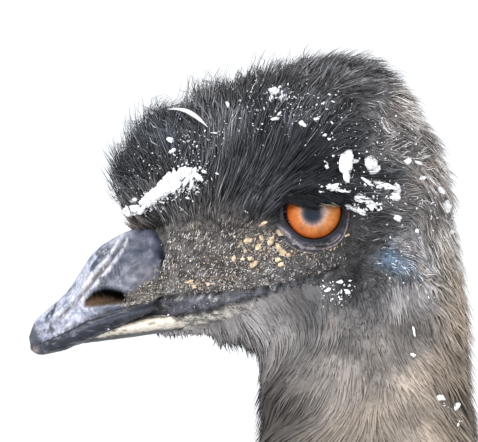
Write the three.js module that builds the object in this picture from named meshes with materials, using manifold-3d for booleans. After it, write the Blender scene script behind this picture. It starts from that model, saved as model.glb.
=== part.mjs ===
// An adult emu at life size, standing still with its neck upright. Millimetres, +Z up, facing -X, left side towards -Y.
import * as THREE from "three";
import { mergeVertices } from "three/addons/utils/BufferGeometryUtils.js";
import Module from "manifold-3d";

const wasm = await Module();
wasm.setup();

// Driving dimensions.
const touchGap = 0.3;
const eye = { x: -395, z: 1585, ballCentre: 19, ballRadius: 15, lidRadius: 16.3 };
const legSpread = 92;
const stride = 42;
const coatDepth = { crown: 10, throat: 5, neck: 8, breast: 20, back: 26, tail: 22, thigh: 12 };
const sides = 18;
const floorSink = 1.5;
const mergeStep = 1e-3;

const { lerp, smoothstep, degToRad } = THREE.MathUtils;
const smooth = (low, high, x) => smoothstep(x, low, high);
const v3 = (x, y, z) => new THREE.Vector3(x, y, z);

// A row of an outline: a point on the back, a point on the front, the half width between them,
// and the place of the widest line, 0 at the front and 1 at the back.
const row = (back, front, halfWidth, widest = 0.5) => ({ back, front, halfWidth, widest });
const fromEye = ([x, z]) => [eye.x + x, eye.z + z];
const headRow = (back, front, halfWidth, widest) => row(fromEye(back), fromEye(front), halfWidth, widest);

// The bare body, from the root of the bill over the head, down the neck and along the trunk.
const bodyRows = [
  headRow([-70, -8], [-60, -45], 9, 0.45),
  headRow([-63, 9], [-50, -45.5], 17, 0.42),
  headRow([-48, 26], [-38, -45], 24, 0.45),
  headRow([-28, 39], [-26, -47], 29, 0.5),
  headRow([-4, 45], [-17, -52], 32, 0.55),
  headRow([20, 43], [-12.5, -57], 33, 0.58),
  headRow([37, 28], [-10, -61.5], 32, 0.58),
  headRow([45, 4], [-8.8, -66], 30, 0.54),
  headRow([47.5, -25], [-8.5, -72], 28),
  headRow([48.5, -55], [-8.5, -82], 27),
  row([-342, 1484], [-403, 1476], 27),
  row([-334, 1400], [-399, 1392], 28),
  row([-322, 1300], [-396, 1290], 31),
  row([-311, 1200], [-398, 1185], 37),
  row([-297, 1120], [-406, 1095], 45),
  row([-272, 1055], [-414, 1010], 60),
  row([-232, 1014], [-408, 925], 88),
  row([-185, 1010], [-378, 835], 120),
  row([-120, 1024], [-320, 752], 150),
  row([-20, 1046], [-205, 695], 174, 0.52),
  row([90, 1054], [-30, 668], 182, 0.52),
  row([200, 1036], [140, 672], 172, 0.52),
  row([298, 980], [268, 702], 140, 0.52),
  row([366, 905], [352, 748], 92),
  row([404, 842], [398, 788], 40),
  row([412, 822], [410, 812], 8),
];
const station = (rowNumber) => rowNumber / (bodyRows.length - 1);
const cuts = { neckTop: 9.6, neckUpper: 11.5, neckLower: 13.4, neckBase: 15.3, tail: 22.4 };

// A leg, from the thigh inside the trunk over the hock to the pad of the foot.
const legRows = [
  row([70, 770], [-105, 735], 60),
  row([88, 690], [-92, 655], 64),
  row([100, 610], [-52, 572], 55),
  row([112, 540], [4, 505], 42),
  row([122, 480], [50, 460], 31),
  row([127, 440], [70, 430], 26),
  row([130, 405], [72, 398], 26.5),
  row([120, 368], [80, 361], 20),
  row([109, 300], [76, 293], 15),
  row([94, 200], [61, 194], 14),
  row([82, 110], [49, 105], 15.5),
  row([76, 62], [38, 55], 19.5),
  row([72, 30], [21, 22], 22),
  row([67, 1], [24, -5], 20),
];
const legStation = (rowNumber) => rowNumber / (legRows.length - 1);
const hock = legStation(5);

// The sheath of the upper bill and the lower bill, from the tip to the face: ridge, edge and half width.
const upperBillRows = [
  headRow([-107.6, -47.5], [-106.8, -52.5], 1.8, 0.3),
  headRow([-105.2, -41.5], [-104, -54], 4.6, 0.2),
  headRow([-100.8, -37.3], [-99, -53.3], 7.2, 0.15),
  headRow([-93.2, -30.4], [-91, -50.7], 9.8, 0.15),
  headRow([-87.4, -21.7], [-83, -47.5], 12, 0.15),
  headRow([-82.8, -15.3], [-76.5, -44.6], 14, 0.18),
  headRow([-75.8, -10.2], [-68, -41.8], 16, 0.22),
  headRow([-66, -6.5], [-60, -40], 18, 0.28),
  headRow([-55, -5], [-53, -38.5], 19.5, 0.3),
];
const lowerBillRows = [
  headRow([-92.5, -51.9], [-92, -52.8], 2),
  headRow([-85, -49.4], [-84, -51.2], 6.5),
  headRow([-76, -45.2], [-75, -49.4], 9),
  headRow([-66, -42.2], [-66, -48.2], 11.5),
  headRow([-56, -39.9], [-56, -46.8], 14),
  headRow([-47, -38.2], [-48, -45.5], 16.5),
];
// Where the jaws meet, from the side, and the dark leathery edge above it.
const mouthLine = [[-58, -39.9], [-46.8, -37.4], [-31.4, -34], [-14, -29.7], [3.4, -24.2]];
const lipRise = 2.6;

// A surface through outline rows: point(t, turn), where turn is 0 on the back and positive to the left.
class Trunk {
  constructor(rows, centreY = () => 0) {
    const through = (pick) => new THREE.CatmullRomCurve3(rows.map(pick), false, "catmullrom", 0.5);
    this.back = through((r) => v3(r.back[0], 0, r.back[1]));
    this.front = through((r) => v3(r.front[0], 0, r.front[1]));
    this.girth = through((r) => v3(r.halfWidth, r.widest, 0));
    this.centreY = centreY;
  }

  point(t, turn) {
    const back = this.back.getPoint(t);
    const front = this.front.getPoint(t);
    const { x: halfWidth, y: widest } = this.girth.getPoint(t);
    const reach = Math.cos(turn);
    const p = front.clone().lerp(back, widest).lerp(reach > 0 ? back : front, Math.abs(reach));
    p.y = this.centreY(t) - halfWidth * Math.sin(turn);
    return p;
  }

  slopes(t, turn) {
    const step = 1e-3;
    const low = Math.max(t - step, 0);
    const high = Math.min(t + step, 1);
    const along = this.point(high, turn).sub(this.point(low, turn)).divideScalar(high - low);
    const round = this.point(t, turn + step).sub(this.point(t, turn - step)).divideScalar(2 * step);
    return { along, round };
  }

  normal(t, turn) {
    const { along, round } = this.slopes(Math.min(Math.max(t, 0.004), 0.996), turn);
    return round.cross(along).normalize();
  }

  lifted(t, turn, lift) {
    return this.point(t, turn).addScaledVector(this.normal(t, turn), lift);
  }

  // The station and turn on one side whose point lies at [x, z] in the side view.
  find([x, z], side = -1) {
    const off = (t) => {
      const front = this.front.getPoint(t);
      const line = this.back.getPoint(t).sub(front);
      const share = ((x - front.x) * line.x + (z - front.z) * line.z) / line.lengthSq();
      const held = Math.min(Math.max(share, 0), 1);
      return { share, miss: Math.hypot(x - front.x - held * line.x, z - front.z - held * line.z) };
    };
    let t = 0;
    for (let trial = 0; trial <= 1; trial += 0.005) {
      if (off(trial).miss < off(t).miss) t = trial;
    }
    for (let step = 0.0025; step > 1e-6; step /= 2) {
      const choices = [t, Math.max(t - step, 0), Math.min(t + step, 1)];
      t = choices.reduce((a, b) => (off(b).miss < off(a).miss ? b : a));
    }
    const { share } = off(t);
    const widest = this.girth.getPoint(t).y;
    const reach = share > widest ? (share - widest) / (1 - widest) : (share - widest) / widest;
    return { t, turn: -side * Math.acos(Math.min(Math.max(reach, -1), 1)) };
  }
}

// A closed surface through rings of equal length, with a fan from the middle of each end ring, or from a tip.
function loft(rings, tip = null) {
  const count = rings[0].length;
  const points = rings.flat();
  const faces = [];
  for (let i = 0; i + 1 < rings.length; i += 1) {
    for (let j = 0; j < count; j += 1) {
      const a = i * count + j;
      const b = i * count + ((j + 1) % count);
      faces.push(a, b, b + count, a, b + count, a + count);
    }
  }
  const middleOf = (ring) => ring.reduce((sum, p) => sum.add(p), v3(0, 0, 0)).divideScalar(count);
  const last = rings.length - 1;
  for (const [end, centre] of [[0, middleOf(rings[0])], [last, tip ?? middleOf(rings[last])]]) {
    const middle = points.length;
    points.push(centre);
    for (let j = 0; j < count; j += 1) {
      const a = end * count + j;
      const b = end * count + ((j + 1) % count);
      faces.push(...(end === 0 ? [b, a, middle] : [a, b, middle]));
    }
  }
  return new THREE.BufferGeometry().setFromPoints(points).setIndex(faces);
}

// A closed geometry as a solid that can be joined and cut, with its faces turned outwards.
function solid(geometry) {
  const bare = new THREE.BufferGeometry().setAttribute("position", geometry.getAttribute("position").clone());
  if (geometry.index) bare.setIndex(geometry.index.clone());
  const merged = mergeVertices(bare, mergeStep);
  const vertProperties = new Float32Array(merged.attributes.position.array);
  const triVerts = new Uint32Array(merged.index.array);
  const made = new wasm.Manifold(new wasm.Mesh({ numProp: 3, vertProperties, triVerts }));
  if (made.volume() > 0) return made;
  for (let i = 0; i < triVerts.length; i += 3) {
    [triVerts[i + 1], triVerts[i + 2]] = [triVerts[i + 2], triVerts[i + 1]];
  }
  return new wasm.Manifold(new wasm.Mesh({ numProp: 3, vertProperties, triVerts }));
}

const joined = (solids) => wasm.Manifold.union(solids);
const largest = (made) => made.decompose().reduce((a, b) => (a.volume() > b.volume() ? a : b));

// Rings of a trunk between two stations, raised from it by lift(t, turn).
function trunkRings(trunk, from, to, count, lift = () => 0, around = sides) {
  return Array.from({ length: count + 1 }, (_, i) => {
    const t = lerp(from, to, i / count);
    return Array.from({ length: around }, (_, j) => {
      const turn = (2 * Math.PI * j) / around;
      return trunk.lifted(t, turn, lift(t, turn));
    });
  });
}

// The space round a trunk between two stations, wider and longer by a gap.
function jacket(trunk, to, count, gap, lift = () => 0, around = sides) {
  const rings = trunkRings(trunk, 0, to, count, (t, turn) => lift(t, turn) + gap, around);
  for (const [ring, t, way] of [[rings[0], 0, -1], [rings[count], to, 1]]) {
    const ahead = trunk.point(Math.min(t + 0.01, 1), 0).sub(trunk.point(Math.min(t + 0.01, 1) - 0.01, 0)).normalize();
    ring.forEach((p) => p.addScaledVector(ahead, way * gap * 2));
  }
  return solid(loft(rings));
}

const curveThrough = (points) => new THREE.CatmullRomCurve3(points, false, "catmullrom", 0.5);

// An oval rod along a curve. size(t) gives its half sizes across and upright.
function rod(curve, size, count, around) {
  return loft(Array.from({ length: count + 1 }, (_, i) => {
    const t = i / count;
    const ahead = curve.getTangent(t);
    const across = v3(-ahead.y, ahead.x, 0);
    if (across.lengthSq() < 1e-6) across.set(0, 1, 0);
    across.normalize();
    const upright = ahead.clone().cross(across).normalize();
    const [wide, tall] = size(t);
    return Array.from({ length: around }, (_, j) => {
      const turn = (2 * Math.PI * (j + 0.5)) / around;
      return curve.getPoint(t)
        .addScaledVector(across, wide * Math.cos(turn))
        .addScaledVector(upright, tall * Math.sin(turn));
    });
  }));
}

const ball = (centre, radius, wide = 14, tall = 9) =>
  solid(new THREE.SphereGeometry(radius, wide, tall).rotateX(Math.PI / 2).translate(...centre));

const body = new Trunk(bodyRows);

// Depth of the coat over the bare body. The face, at the sides of the head, is nearly bare.
function coat(t, turn) {
  const backward = Math.cos(turn);
  const overHead = smooth(station(0), station(1.5), t) * coatDepth.crown * smooth(0.15, 0.75, backward)
    + smooth(station(2), station(4), t) * coatDepth.throat * smooth(0.2, 0.8, -backward);
  const toNeck = lerp(overHead, coatDepth.neck, smooth(station(4.8), station(8), t));
  const toBreast = lerp(toNeck, coatDepth.breast, smooth(station(13), station(17), t));
  const toBack = lerp(toBreast, coatDepth.back, smooth(station(17), station(20), t));
  return lerp(toBack, coatDepth.tail, smooth(station(22), station(25), t));
}

// A seeded draw between two values, so that every build gives the same bird.
let seed = 23;
function draw(low, high) {
  seed = (seed * 1664525 + 1013904223) % 4294967296;
  return lerp(low, high, seed / 4294967296);
}

// A flat, pointed lock of feathers. Its root is sunk in the coat, it follows the lie of the feathers over the surface
// while it lifts towards its tip, and it hangs free where the surface turns under.
function lock(trunk, root, form, gap = 0) {
  const { length, width, thick, rise, lie, sink = thick, cover = coat, until = 1, looseFrom = 2, steps = 3 } = form;
  let { t, turn } = root;
  let at = null;
  let way = null;
  const rings = [];
  for (let i = 0; i <= steps; i += 1) {
    const share = i / steps;
    const out = trunk.normal(t, turn);
    const held = trunk.lifted(t, turn, cover(t, turn) + lerp(-sink, rise, share ** 0.8));
    const free = Math.max(smooth(-0.1, 0.5, -out.z), smooth(looseFrom, looseFrom + 0.06, t));
    const next = at ? held.lerp(at.clone().addScaledVector(way, length / steps), free) : held;
    const wanted = lie(next, turn).normalize().lerp(v3(0.2, 0, -0.98), free);
    way = wanted.addScaledVector(out, -wanted.dot(out) * (1 - free)).normalize();
    const across = way.clone().cross(out).normalize();
    const raised = across.clone().cross(way);
    const wide = width * (0.36 + 0.55 * share * (1 - share)) + gap;
    const deep = thick * (0.56 - 0.2 * share) + gap;
    at = next;
    if (i < steps) {
      rings.push([[wide, 0], [0, deep], [-wide, 0], [0, -deep]].map(([u, v]) =>
        at.clone().addScaledVector(across, u).addScaledVector(raised, v)));
    }
    const { along, round } = trunk.slopes(t, turn);
    const ahead = (way.dot(along) * length) / steps / along.lengthSq();
    t = Math.max(t + Math.min(ahead, (until - t) / (steps - i + 0.2)), 0);
    turn += (way.dot(round) * length) / steps / round.lengthSq();
  }
  return solid(loft(rings, at.addScaledVector(way, gap)));
}

// Roots in staggered rows between two stations, about one spacing apart, with a little scatter.
function lockRoots(trunk, from, to, spacing, cover = coat) {
  const middle = (from + to) / 2;
  const lengthwise = trunk.slopes(middle, 1.6).along.length() * (to - from);
  const rows = Math.max(Math.round(lengthwise / spacing), 1);
  return Array.from({ length: rows }, (_, i) => {
    const t = lerp(from, to, (i + 0.1) / rows);
    const radius = trunk.girth.getPoint(t).x + cover(t, 1.6);
    const count = Math.max(Math.round((2 * Math.PI * radius) / spacing), 5);
    return Array.from({ length: count }, (_, j) => ({
      t: t + ((to - from) / rows) * draw(0, 0.35),
      turn: (2 * Math.PI * (j + 0.5 * (i % 2) + draw(-0.2, 0.2))) / count,
    }));
  }).flat();
}

// Keeps what lies on one side of the plane through a station of the body: 1 towards the tail, -1 towards the bill.
function keptBeyond(made, rowNumber, way) {
  const t = station(rowNumber);
  const front = body.front.getPoint(t);
  const across = body.back.getPoint(t).sub(front).normalize();
  const normal = v3(0, 1, 0).cross(across).multiplyScalar(-way);
  const ahead = body.point(Math.min(t + 0.01, 1), Math.PI / 2).sub(body.point(t, Math.PI / 2));
  if (ahead.dot(normal) * way < 0) normal.negate();
  return made.trimByPlane(normal.toArray(), normal.dot(front) + touchGap / 2);
}

// The leg on one side, shifted by its place in the stride.
function legTrunk(side) {
  const shift = side * stride;
  const rows = legRows.map(({ back, front, halfWidth, widest }) => {
    const share = 1 - smooth(40, 740, (back[1] + front[1]) / 2);
    return row([back[0] + shift * share, back[1]], [front[0] + shift * share, front[1]], halfWidth, widest);
  });
  return new Trunk(rows, () => side * legSpread);
}

const thighCoat = (t) => coatDepth.thigh * (1 - smooth(legStation(3), hock, t)) * smooth(0, legStation(1.6), t);

// The space that a leg's feathered part takes out of the trunk.
const thighSpace = (leg, gap) => jacket(leg, hock, 9, gap, thighCoat, 16);

// The bare part of a leg, from the hock to the pad of the foot.
const shankSpace = (leg, gap) => solid(loft(trunkRings(leg, hock + 0.001, 1, 13, () => gap, 12)));

// A place on the folded wing: u along it from its middle towards its drooping end, v across it, downwards.
const wing = { station: 18.4, turn: degToRad(82), halfLength: 122, halfDepth: 50, droop: degToRad(36) };
function wingPlace(side, u, v) {
  const middle = { t: station(wing.station), turn: -side * wing.turn };
  const { along, round } = body.slopes(middle.t, middle.turn);
  const back = u * Math.cos(wing.droop) - v * Math.sin(wing.droop);
  const down = u * Math.sin(wing.droop) + v * Math.cos(wing.droop);
  return { t: middle.t + back / along.length(), turn: middle.turn - (side * down) / round.length() };
}

// The space of a wing: a leaf shape that reaches from the bare body straight out to the side.
function wingSpace(side, gap) {
  const inner = Array.from({ length: 24 }, (_, j) => {
    const round = (2 * Math.PI * j) / 24;
    const u = wing.halfLength * Math.cos(round);
    const v = wing.halfDepth * (1 - 0.3 * Math.cos(round)) * Math.sin(round);
    const { t, turn } = wingPlace(side, u, v);
    return body.lifted(t, turn, 8);
  });
  const centre = inner.reduce((sum, p) => sum.add(p), v3(0, 0, 0)).divideScalar(inner.length);
  inner.forEach((p) => p.add(p.clone().sub(centre).setY(0).setLength(gap)).add(v3(0, -2 * side * gap, 0)));
  const outer = inner.map((p) => p.clone().setY(side * 330));
  return solid(loft([inner, outer]));
}

// The eyelids: a thin shell over each eyeball with an opening between a flat upper and a round lower lid.
function lids(side) {
  const shell = ball([eye.x, side * eye.ballCentre, eye.z], eye.lidRadius, 16, 10);
  const opening = new THREE.Shape();
  opening.moveTo(-10.6, 2.2);
  opening.absarc(0, 0, 10.4, degToRad(180), degToRad(360), false);
  opening.lineTo(10.6, 2.2);
  opening.quadraticCurveTo(0, 3.6, -10.6, 2.2);
  const cutter = solid(new THREE.ExtrudeGeometry(opening, { depth: 20, bevelEnabled: false, curveSegments: 9 })
    .rotateX(Math.PI / 2).translate(eye.x, side > 0 ? 44 : -24, eye.z));
  return { shell, cutter };
}

// A rod that follows the surface of the head along points of the side view.
function alongHead(points, side, lift, size, count = 8, around = 5) {
  const placed = points.map((p) => {
    const { t, turn } = body.find(fromEye(p), side);
    return body.lifted(t, turn, lift);
  });
  return solid(rod(curveThrough(placed), size, count, around));
}

const browLine = [[-27, 3], [-14, 8.5], [0, 9.5], [14, 8], [27, 1]];
const bead = (most) => (t) => [most * Math.sin(Math.PI * (0.06 + 0.88 * t)) ** 0.6, most * Math.sin(Math.PI * (0.06 + 0.88 * t)) ** 0.6];

function headSolid(coated) {
  const added = [coated];
  const cutAway = [];
  for (const side of [-1, 1]) {
    const { shell, cutter } = lids(side);
    added.push(shell);
    added.push(alongHead(browLine, side, 1.5, bead(4.6)));
    added.push(alongHead(mouthLine.map(([x, z]) => [x, z + lipRise]), side, -0.6, bead(2.3)));
    cutAway.push(cutter, ball([eye.x, side * eye.ballCentre, eye.z], eye.ballRadius + touchGap));
    cutAway.push(alongHead(mouthLine, side, 0.4, (t) => [3.2 * (1 - 0.5 * t), 0.55], 8, 4));
    const ear = body.find(fromEye([29, -17.5]), side);
    const earAt = body.lifted(ear.t, ear.turn, 1);
    added.push(ball(earAt.toArray(), 7.5, 8, 6));
    cutAway.push(ball(body.lifted(ear.t, ear.turn, 7.5).toArray(), 6, 8, 6));
  }
  cutAway.push(jacket(upperBill, 1, 12, touchGap), jacket(lowerBill, 1, 6, touchGap));
  return joined(added).subtract(joined(cutAway));
}

const upperBill = new Trunk(upperBillRows);
const lowerBill = new Trunk(lowerBillRows);

// The upper bill, with an oval nostril let into each side.
function upperBillSolid() {
  const nostrils = [-1, 1].map((side) => {
    const { t, turn } = upperBill.find(fromEye([-78.6, -33]), side);
    const at = upperBill.lifted(t, turn, 0.6);
    return solid(new THREE.SphereGeometry(1, 10, 6).scale(7.6, 3.4, 3).rotateY(degToRad(-8)).translate(...at.toArray()));
  });
  return solid(loft(trunkRings(upperBill, 0, 1, 12))).subtract(joined(nostrils));
}

function lowerBillSolid() {
  const whole = solid(loft(trunkRings(lowerBill, 0, 1, 6)));
  return whole.subtract(jacket(upperBill, 1, 12, touchGap));
}

// A toe from the pad of the foot: name, direction in degrees from straight ahead, and length without its claw.
const toes = [
  { name: "middle", turn: 0, length: 132, thick: 14.5 },
  { name: "inner", turn: 29, length: 86, thick: 13 },
  { name: "outer", turn: -30, length: 92, thick: 13 },
];
const clawLength = 27;

function toeSolid({ turn, length, thick }, side, leg, gap = 0) {
  const { at } = toeLine(turn, side, leg);
  const size = (t) => lerp(thick, thick * 0.66, t) * (1 + 0.07 * Math.cos(2 * Math.PI * (3 * t + 0.1))) + gap;
  const line = [0, 0.33, 0.66, 1].map((share) => at(length * share, lerp(thick, thick * 0.66, share) - floorSink));
  return solid(rod(curveThrough(line), (t) => [size(t), size(t)], 7, 8));
}

function clawSolid({ turn, length }, side, leg) {
  const { at } = toeLine(turn, side, leg);
  const from = length + touchGap;
  const line = curveThrough([at(from, 7.4), at(from + clawLength * 0.5, 7.2), at(from + clawLength, 3.2)]);
  return solid(rod(line, (t) => [lerp(7, 1.6, t ** 1.4), lerp(7, 1.4, t ** 1.2)], 3, 7)).trimByPlane([0, 0, 1], 0);
}

// Places along a toe that points away from the pad of its foot.
function toeLine(turn, side, leg) {
  const base = leg.point(legStation(12.2), 0).lerp(leg.point(legStation(12.2), Math.PI), 0.6);
  const heading = degToRad(180 + side * turn);
  return { at: (reach, height) => v3(base.x + Math.cos(heading) * reach, base.y + Math.sin(heading) * reach, height) };
}

const finishes = {
  plumage: { color: "#3b332b", roughness: 0.9 },
  darkPlumage: { color: "#1f1d1c", roughness: 0.85 },
  bill: { color: "#4a4d55", roughness: 0.45 },
  eyes: { color: "#c4621c", roughness: 0.1 },
  scales: { color: "#4b4238", roughness: 0.7 },
  claws: { color: "#211e1c", roughness: 0.4 },
};
const materials = Object.fromEntries(Object.entries(finishes).map(([name, finish]) =>
  [name, new THREE.MeshStandardMaterial({ ...finish, metalness: 0 })]));

function geometryOf(made) {
  const { numVert, numProp, vertProperties, triVerts } = made.getMesh();
  const points = new Float32Array(numVert * 3);
  for (let i = 0; i < points.length; i += 1) {
    const raw = vertProperties[Math.floor(i / 3) * numProp + (i % 3)];
    points[i] = Math.round(raw / mergeStep) * mergeStep;
  }
  return new THREE.BufferGeometry()
    .setAttribute("position", new THREE.BufferAttribute(points, 3))
    .setIndex(new THREE.BufferAttribute(triVerts, 1));
}

// A named mesh of the largest closed surface of a solid, with its geometry about its own middle.
function node(name, made, material) {
  const geometry = geometryOf(largest(solid(geometryOf(largest(made)))));
  geometry.computeBoundingBox();
  const middle = geometry.boundingBox.getCenter(v3(0, 0, 0)).round();
  geometry.translate(-middle.x, -middle.y, -middle.z);
  geometry.computeVertexNormals();
  const placed = new THREE.Mesh(geometry, material);
  placed.name = name;
  placed.position.copy(middle);
  return placed;
}

const emu = new THREE.Group();
const legs = Object.fromEntries([["left", -1], ["right", 1]].map(([name, side]) => [name, { side, trunk: legTrunk(side) }]));

// The lie of the feathers: outwards from the face over the head, down the neck, back and down from the parting on the back.
function headLie(p) {
  const out = v3(p.x - eye.x + 31, 0, p.z - eye.z - 2.5).normalize();
  return out.add(v3(0, 0, -1.2 * smooth(-10, 45, p.x - eye.x)));
}
const neckLie = () => v3(0, 0, -1);
const trunkLie = (p, turn) => v3(0.62, -0.8 * Math.sin(turn), -0.78);
const tailLie = (p, turn) => v3(0.3, -0.5 * Math.sin(turn), -1);

// The locks of each stretch of the body, by its first and last station, their spacing and their sizes.
const stretches = [
  { from: 0.9, to: 7.2, spacing: 25, length: 25, width: 16, thick: 2.8, rise: 3.5, steps: 2, lie: headLie, grows: (turn) => Math.cos(turn) > 0.2 },
  { from: 7.2, to: 9.6, spacing: 30, length: 33, width: 22, thick: 2.8, rise: 3, steps: 2, lie: neckLie, grows: (turn) => Math.cos(turn) > -0.3 },
  { from: 4.6, to: 9.6, spacing: 28, length: 22, width: 16, thick: 2.4, rise: 3, steps: 2, lie: headLie, grows: (turn) => Math.cos(turn) < -0.5 },
  { from: 9.6, to: 11.5, spacing: 52, length: 58, width: 40, thick: 4.5, rise: 5, steps: 2, lie: neckLie },
  { from: 11.5, to: 13.4, spacing: 64, length: 72, width: 50, thick: 6, rise: 7, steps: 2, lie: neckLie },
  { from: 13.4, to: 15.3, spacing: 72, length: 90, width: 58, thick: 8, rise: 11, lie: neckLie },
  { from: 15.3, to: 22.4, spacing: 119, length: 188, width: 90, thick: 12, rise: 24, lie: trunkLie },
  { from: 22.4, to: 24.4, spacing: 88, length: 215, width: 68, thick: 10, rise: 22, lie: tailLie, looseFrom: station(22.6) },
];

const blocked = Object.values(legs).flatMap(({ side, trunk }) => [thighSpace(trunk, 4), wingSpace(side, 4)]);
const clearOf = (made, obstacles) => obstacles.every((obstacle) => made.intersect(obstacle).isEmpty());

function coatLocks({ from, to, spacing, grows = () => true, ...form }) {
  const roots = lockRoots(body, station(from), station(to), spacing).filter(({ turn }) => grows(turn));
  const until = to < cuts.tail + 1 ? station(to) : 1;
  const made = roots.map((root) => {
    const underside = 1 - 0.4 * smooth(0.3, 0.9, -Math.cos(root.turn)) * smooth(station(15), station(17), root.t);
    return lock(body, root, { ...form, until, length: form.length * underside * draw(0.85, 1.15) });
  });
  return made.filter((one) => clearOf(one, blocked));
}

// The feathered body in one piece, then parted.
const plainBody = solid(loft(trunkRings(body, 0, 1, 42, coat)));
const wingLocks = Object.fromEntries(Object.entries(legs).map(([name, { side }]) => [name, wingLockSolids(side)]));
const limbSpaces = Object.values(legs).flatMap(({ side, trunk }) => [thighSpace(trunk, 2 * touchGap), wingSpace(side, 2 * touchGap)]);
const wingLockSpaces = Object.values(wingLocks).flatMap(({ spaces }) => spaces);
const coated = joined([plainBody, ...stretches.flatMap(coatLocks)]).subtract(joined([...limbSpaces, ...wingLockSpaces]));

const parts = [
  ["neck_upper", cuts.neckTop, cuts.neckUpper],
  ["neck_middle", cuts.neckUpper, cuts.neckLower],
  ["neck_lower", cuts.neckLower, cuts.neckBase],
  ["torso", cuts.neckBase, cuts.tail],
];
emu.add(node("head", headSolid(keptBeyond(coated, cuts.neckTop, -1)), materials.darkPlumage));
for (const [name, from, to] of parts) {
  emu.add(node(name, keptBeyond(keptBeyond(coated, from, 1), to, -1), materials.plumage));
}
emu.add(node("tail", keptBeyond(coated, cuts.tail, 1), materials.plumage));
emu.add(node("upper_bill", upperBillSolid(), materials.bill));
emu.add(node("lower_bill", lowerBillSolid(), materials.bill));

// A few slack feathers that hang from the folded wing.
function wingLockSolids(side) {
  const places = [[-78, -8], [-40, -22], [-36, 22], [4, 0], [40, -20], [44, 18], [84, 2]];
  const forms = places.map(([u, v]) => ({ root: wingPlace(side, u, v), length: draw(95, 125) }));
  const make = (gap) => forms.map(({ root, length }) =>
    lock(body, root, { length, width: 40, thick: 7, rise: 26, sink: 4, lie: () => v3(0.55, 0, -0.85) }, gap));
  return { solids: make(0), spaces: make(touchGap) };
}

function thighLocks(trunk, obstacles) {
  const roots = lockRoots(trunk, legStation(2), legStation(4.2), 78, thighCoat);
  const form = { width: 50, thick: 7, rise: 7, cover: thighCoat, until: hock - 0.012, lie: () => v3(0.15, 0, -1) };
  const made = roots.map((root) => lock(trunk, root, { ...form, length: draw(85, 110) }));
  return made.filter((one) => clearOf(one, obstacles));
}

for (const [name, { side, trunk }] of Object.entries(legs)) {
  emu.add(node(`eye_${name}`, ball([eye.x, side * eye.ballCentre, eye.z], eye.ballRadius), materials.eyes));
  const arm = plainBody.intersect(wingSpace(side, 0));
  emu.add(node(`wing_${name}`, joined([arm, ...wingLocks[name].solids]), materials.plumage));
  const shank = shankSpace(trunk, touchGap);
  emu.add(node(`thigh_${name}`, joined([thighSpace(trunk, 0), ...thighLocks(trunk, [coated, shank])]), materials.plumage));
  emu.add(node(`tarsus_${name}`, shankSpace(trunk, 0).trimByPlane([0, 0, 1], 0), materials.scales));
  const taken = [shank];
  for (const toe of toes) {
    const made = toeSolid(toe, side, trunk).subtract(joined(taken)).trimByPlane([0, 0, 1], 0);
    taken.push(toeSolid(toe, side, trunk, touchGap));
    emu.add(node(`toe_${toe.name}_${name}`, made, materials.scales));
    emu.add(node(`claw_${toe.name}_${name}`, clawSolid(toe, side, trunk), materials.claws));
  }
}

// The middle of the whole bird stands over the origin.
const bounds = new THREE.Box3().setFromObject(emu);
const centred = (low, high) => Math.round(-(low + high) / 2 / mergeStep) * mergeStep;
emu.position.set(centred(bounds.min.x, bounds.max.x), centred(bounds.min.y, bounds.max.y), 0);

export default emu;
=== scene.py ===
# %% [markdown]
# # A life-size emu
# An adult emu stands with its neck upright, and the camera looks at its head from the left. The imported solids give
# every place: this file dresses them with one skin, a fine bill, wet eyes, scaly legs and a coat of loose feathers.
# All shapes are surfaces of two parameters, worked out with numpy in the millimetres of the solids.

import bpy
import numpy as np
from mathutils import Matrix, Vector


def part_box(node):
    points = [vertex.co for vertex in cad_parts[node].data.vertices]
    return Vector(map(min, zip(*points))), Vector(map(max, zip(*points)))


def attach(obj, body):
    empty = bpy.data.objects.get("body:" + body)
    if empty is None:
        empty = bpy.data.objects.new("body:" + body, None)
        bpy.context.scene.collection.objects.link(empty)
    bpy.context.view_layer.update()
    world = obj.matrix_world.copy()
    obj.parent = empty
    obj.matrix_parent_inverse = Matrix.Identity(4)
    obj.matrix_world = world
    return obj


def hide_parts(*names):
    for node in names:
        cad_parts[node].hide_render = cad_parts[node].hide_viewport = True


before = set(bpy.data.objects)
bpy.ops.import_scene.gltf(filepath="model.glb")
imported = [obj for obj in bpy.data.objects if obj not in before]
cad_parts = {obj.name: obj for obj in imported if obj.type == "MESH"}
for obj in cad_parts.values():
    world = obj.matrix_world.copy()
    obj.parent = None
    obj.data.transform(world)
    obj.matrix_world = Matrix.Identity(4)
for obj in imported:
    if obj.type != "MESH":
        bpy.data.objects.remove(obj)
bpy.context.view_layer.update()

# %% [markdown]
# ## One frame
# The outline below is written about the line between the eyes, in millimetres. The two packed eyeballs say where that
# line is in the frame, so everything that is built from it lands on the solids.

# %% The eyes place the outline
MM = 0.001
EYE = np.array([-395.0, 0.0, 1585.0])
BALL_CENTRE, BALL_RADIUS = 19.0, 15.0
SIDES = {"left": -1, "right": 1}

eye_boxes = [np.array([tuple(corner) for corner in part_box(f"eye_{side}")]) for side in ("left", "right")]
eye_line = np.mean([box.mean(0) for box in eye_boxes], axis=0)
origin = eye_line - EYE * MM
rng = np.random.default_rng(11)
print("outline to frame, mm:", np.round(origin / MM, 3))

# %% The photograph's frame
PHOTO = (478, 442)
PX_PER_MM = 2.64
EYE_PX = (313.0, 211.5)
CAMERA_AWAY = 2600.0
CENTRE = ((PHOTO[0] / 2 - EYE_PX[0]) / PX_PER_MM, (EYE_PX[1] - PHOTO[1] / 2) / PX_PER_MM)


def from_photo(px, py, y=0.0):
    """The side view place of a pixel, in mm from the eye line, for a point that is y to the right of the midline."""
    nearer = (CAMERA_AWAY + np.asarray(y)) / CAMERA_AWAY
    x = (np.asarray(px) - PHOTO[0] / 2) / PX_PER_MM * nearer + CENTRE[0]
    z = (PHOTO[1] / 2 - np.asarray(py)) / PX_PER_MM * nearer + CENTRE[1]
    return x, z


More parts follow.
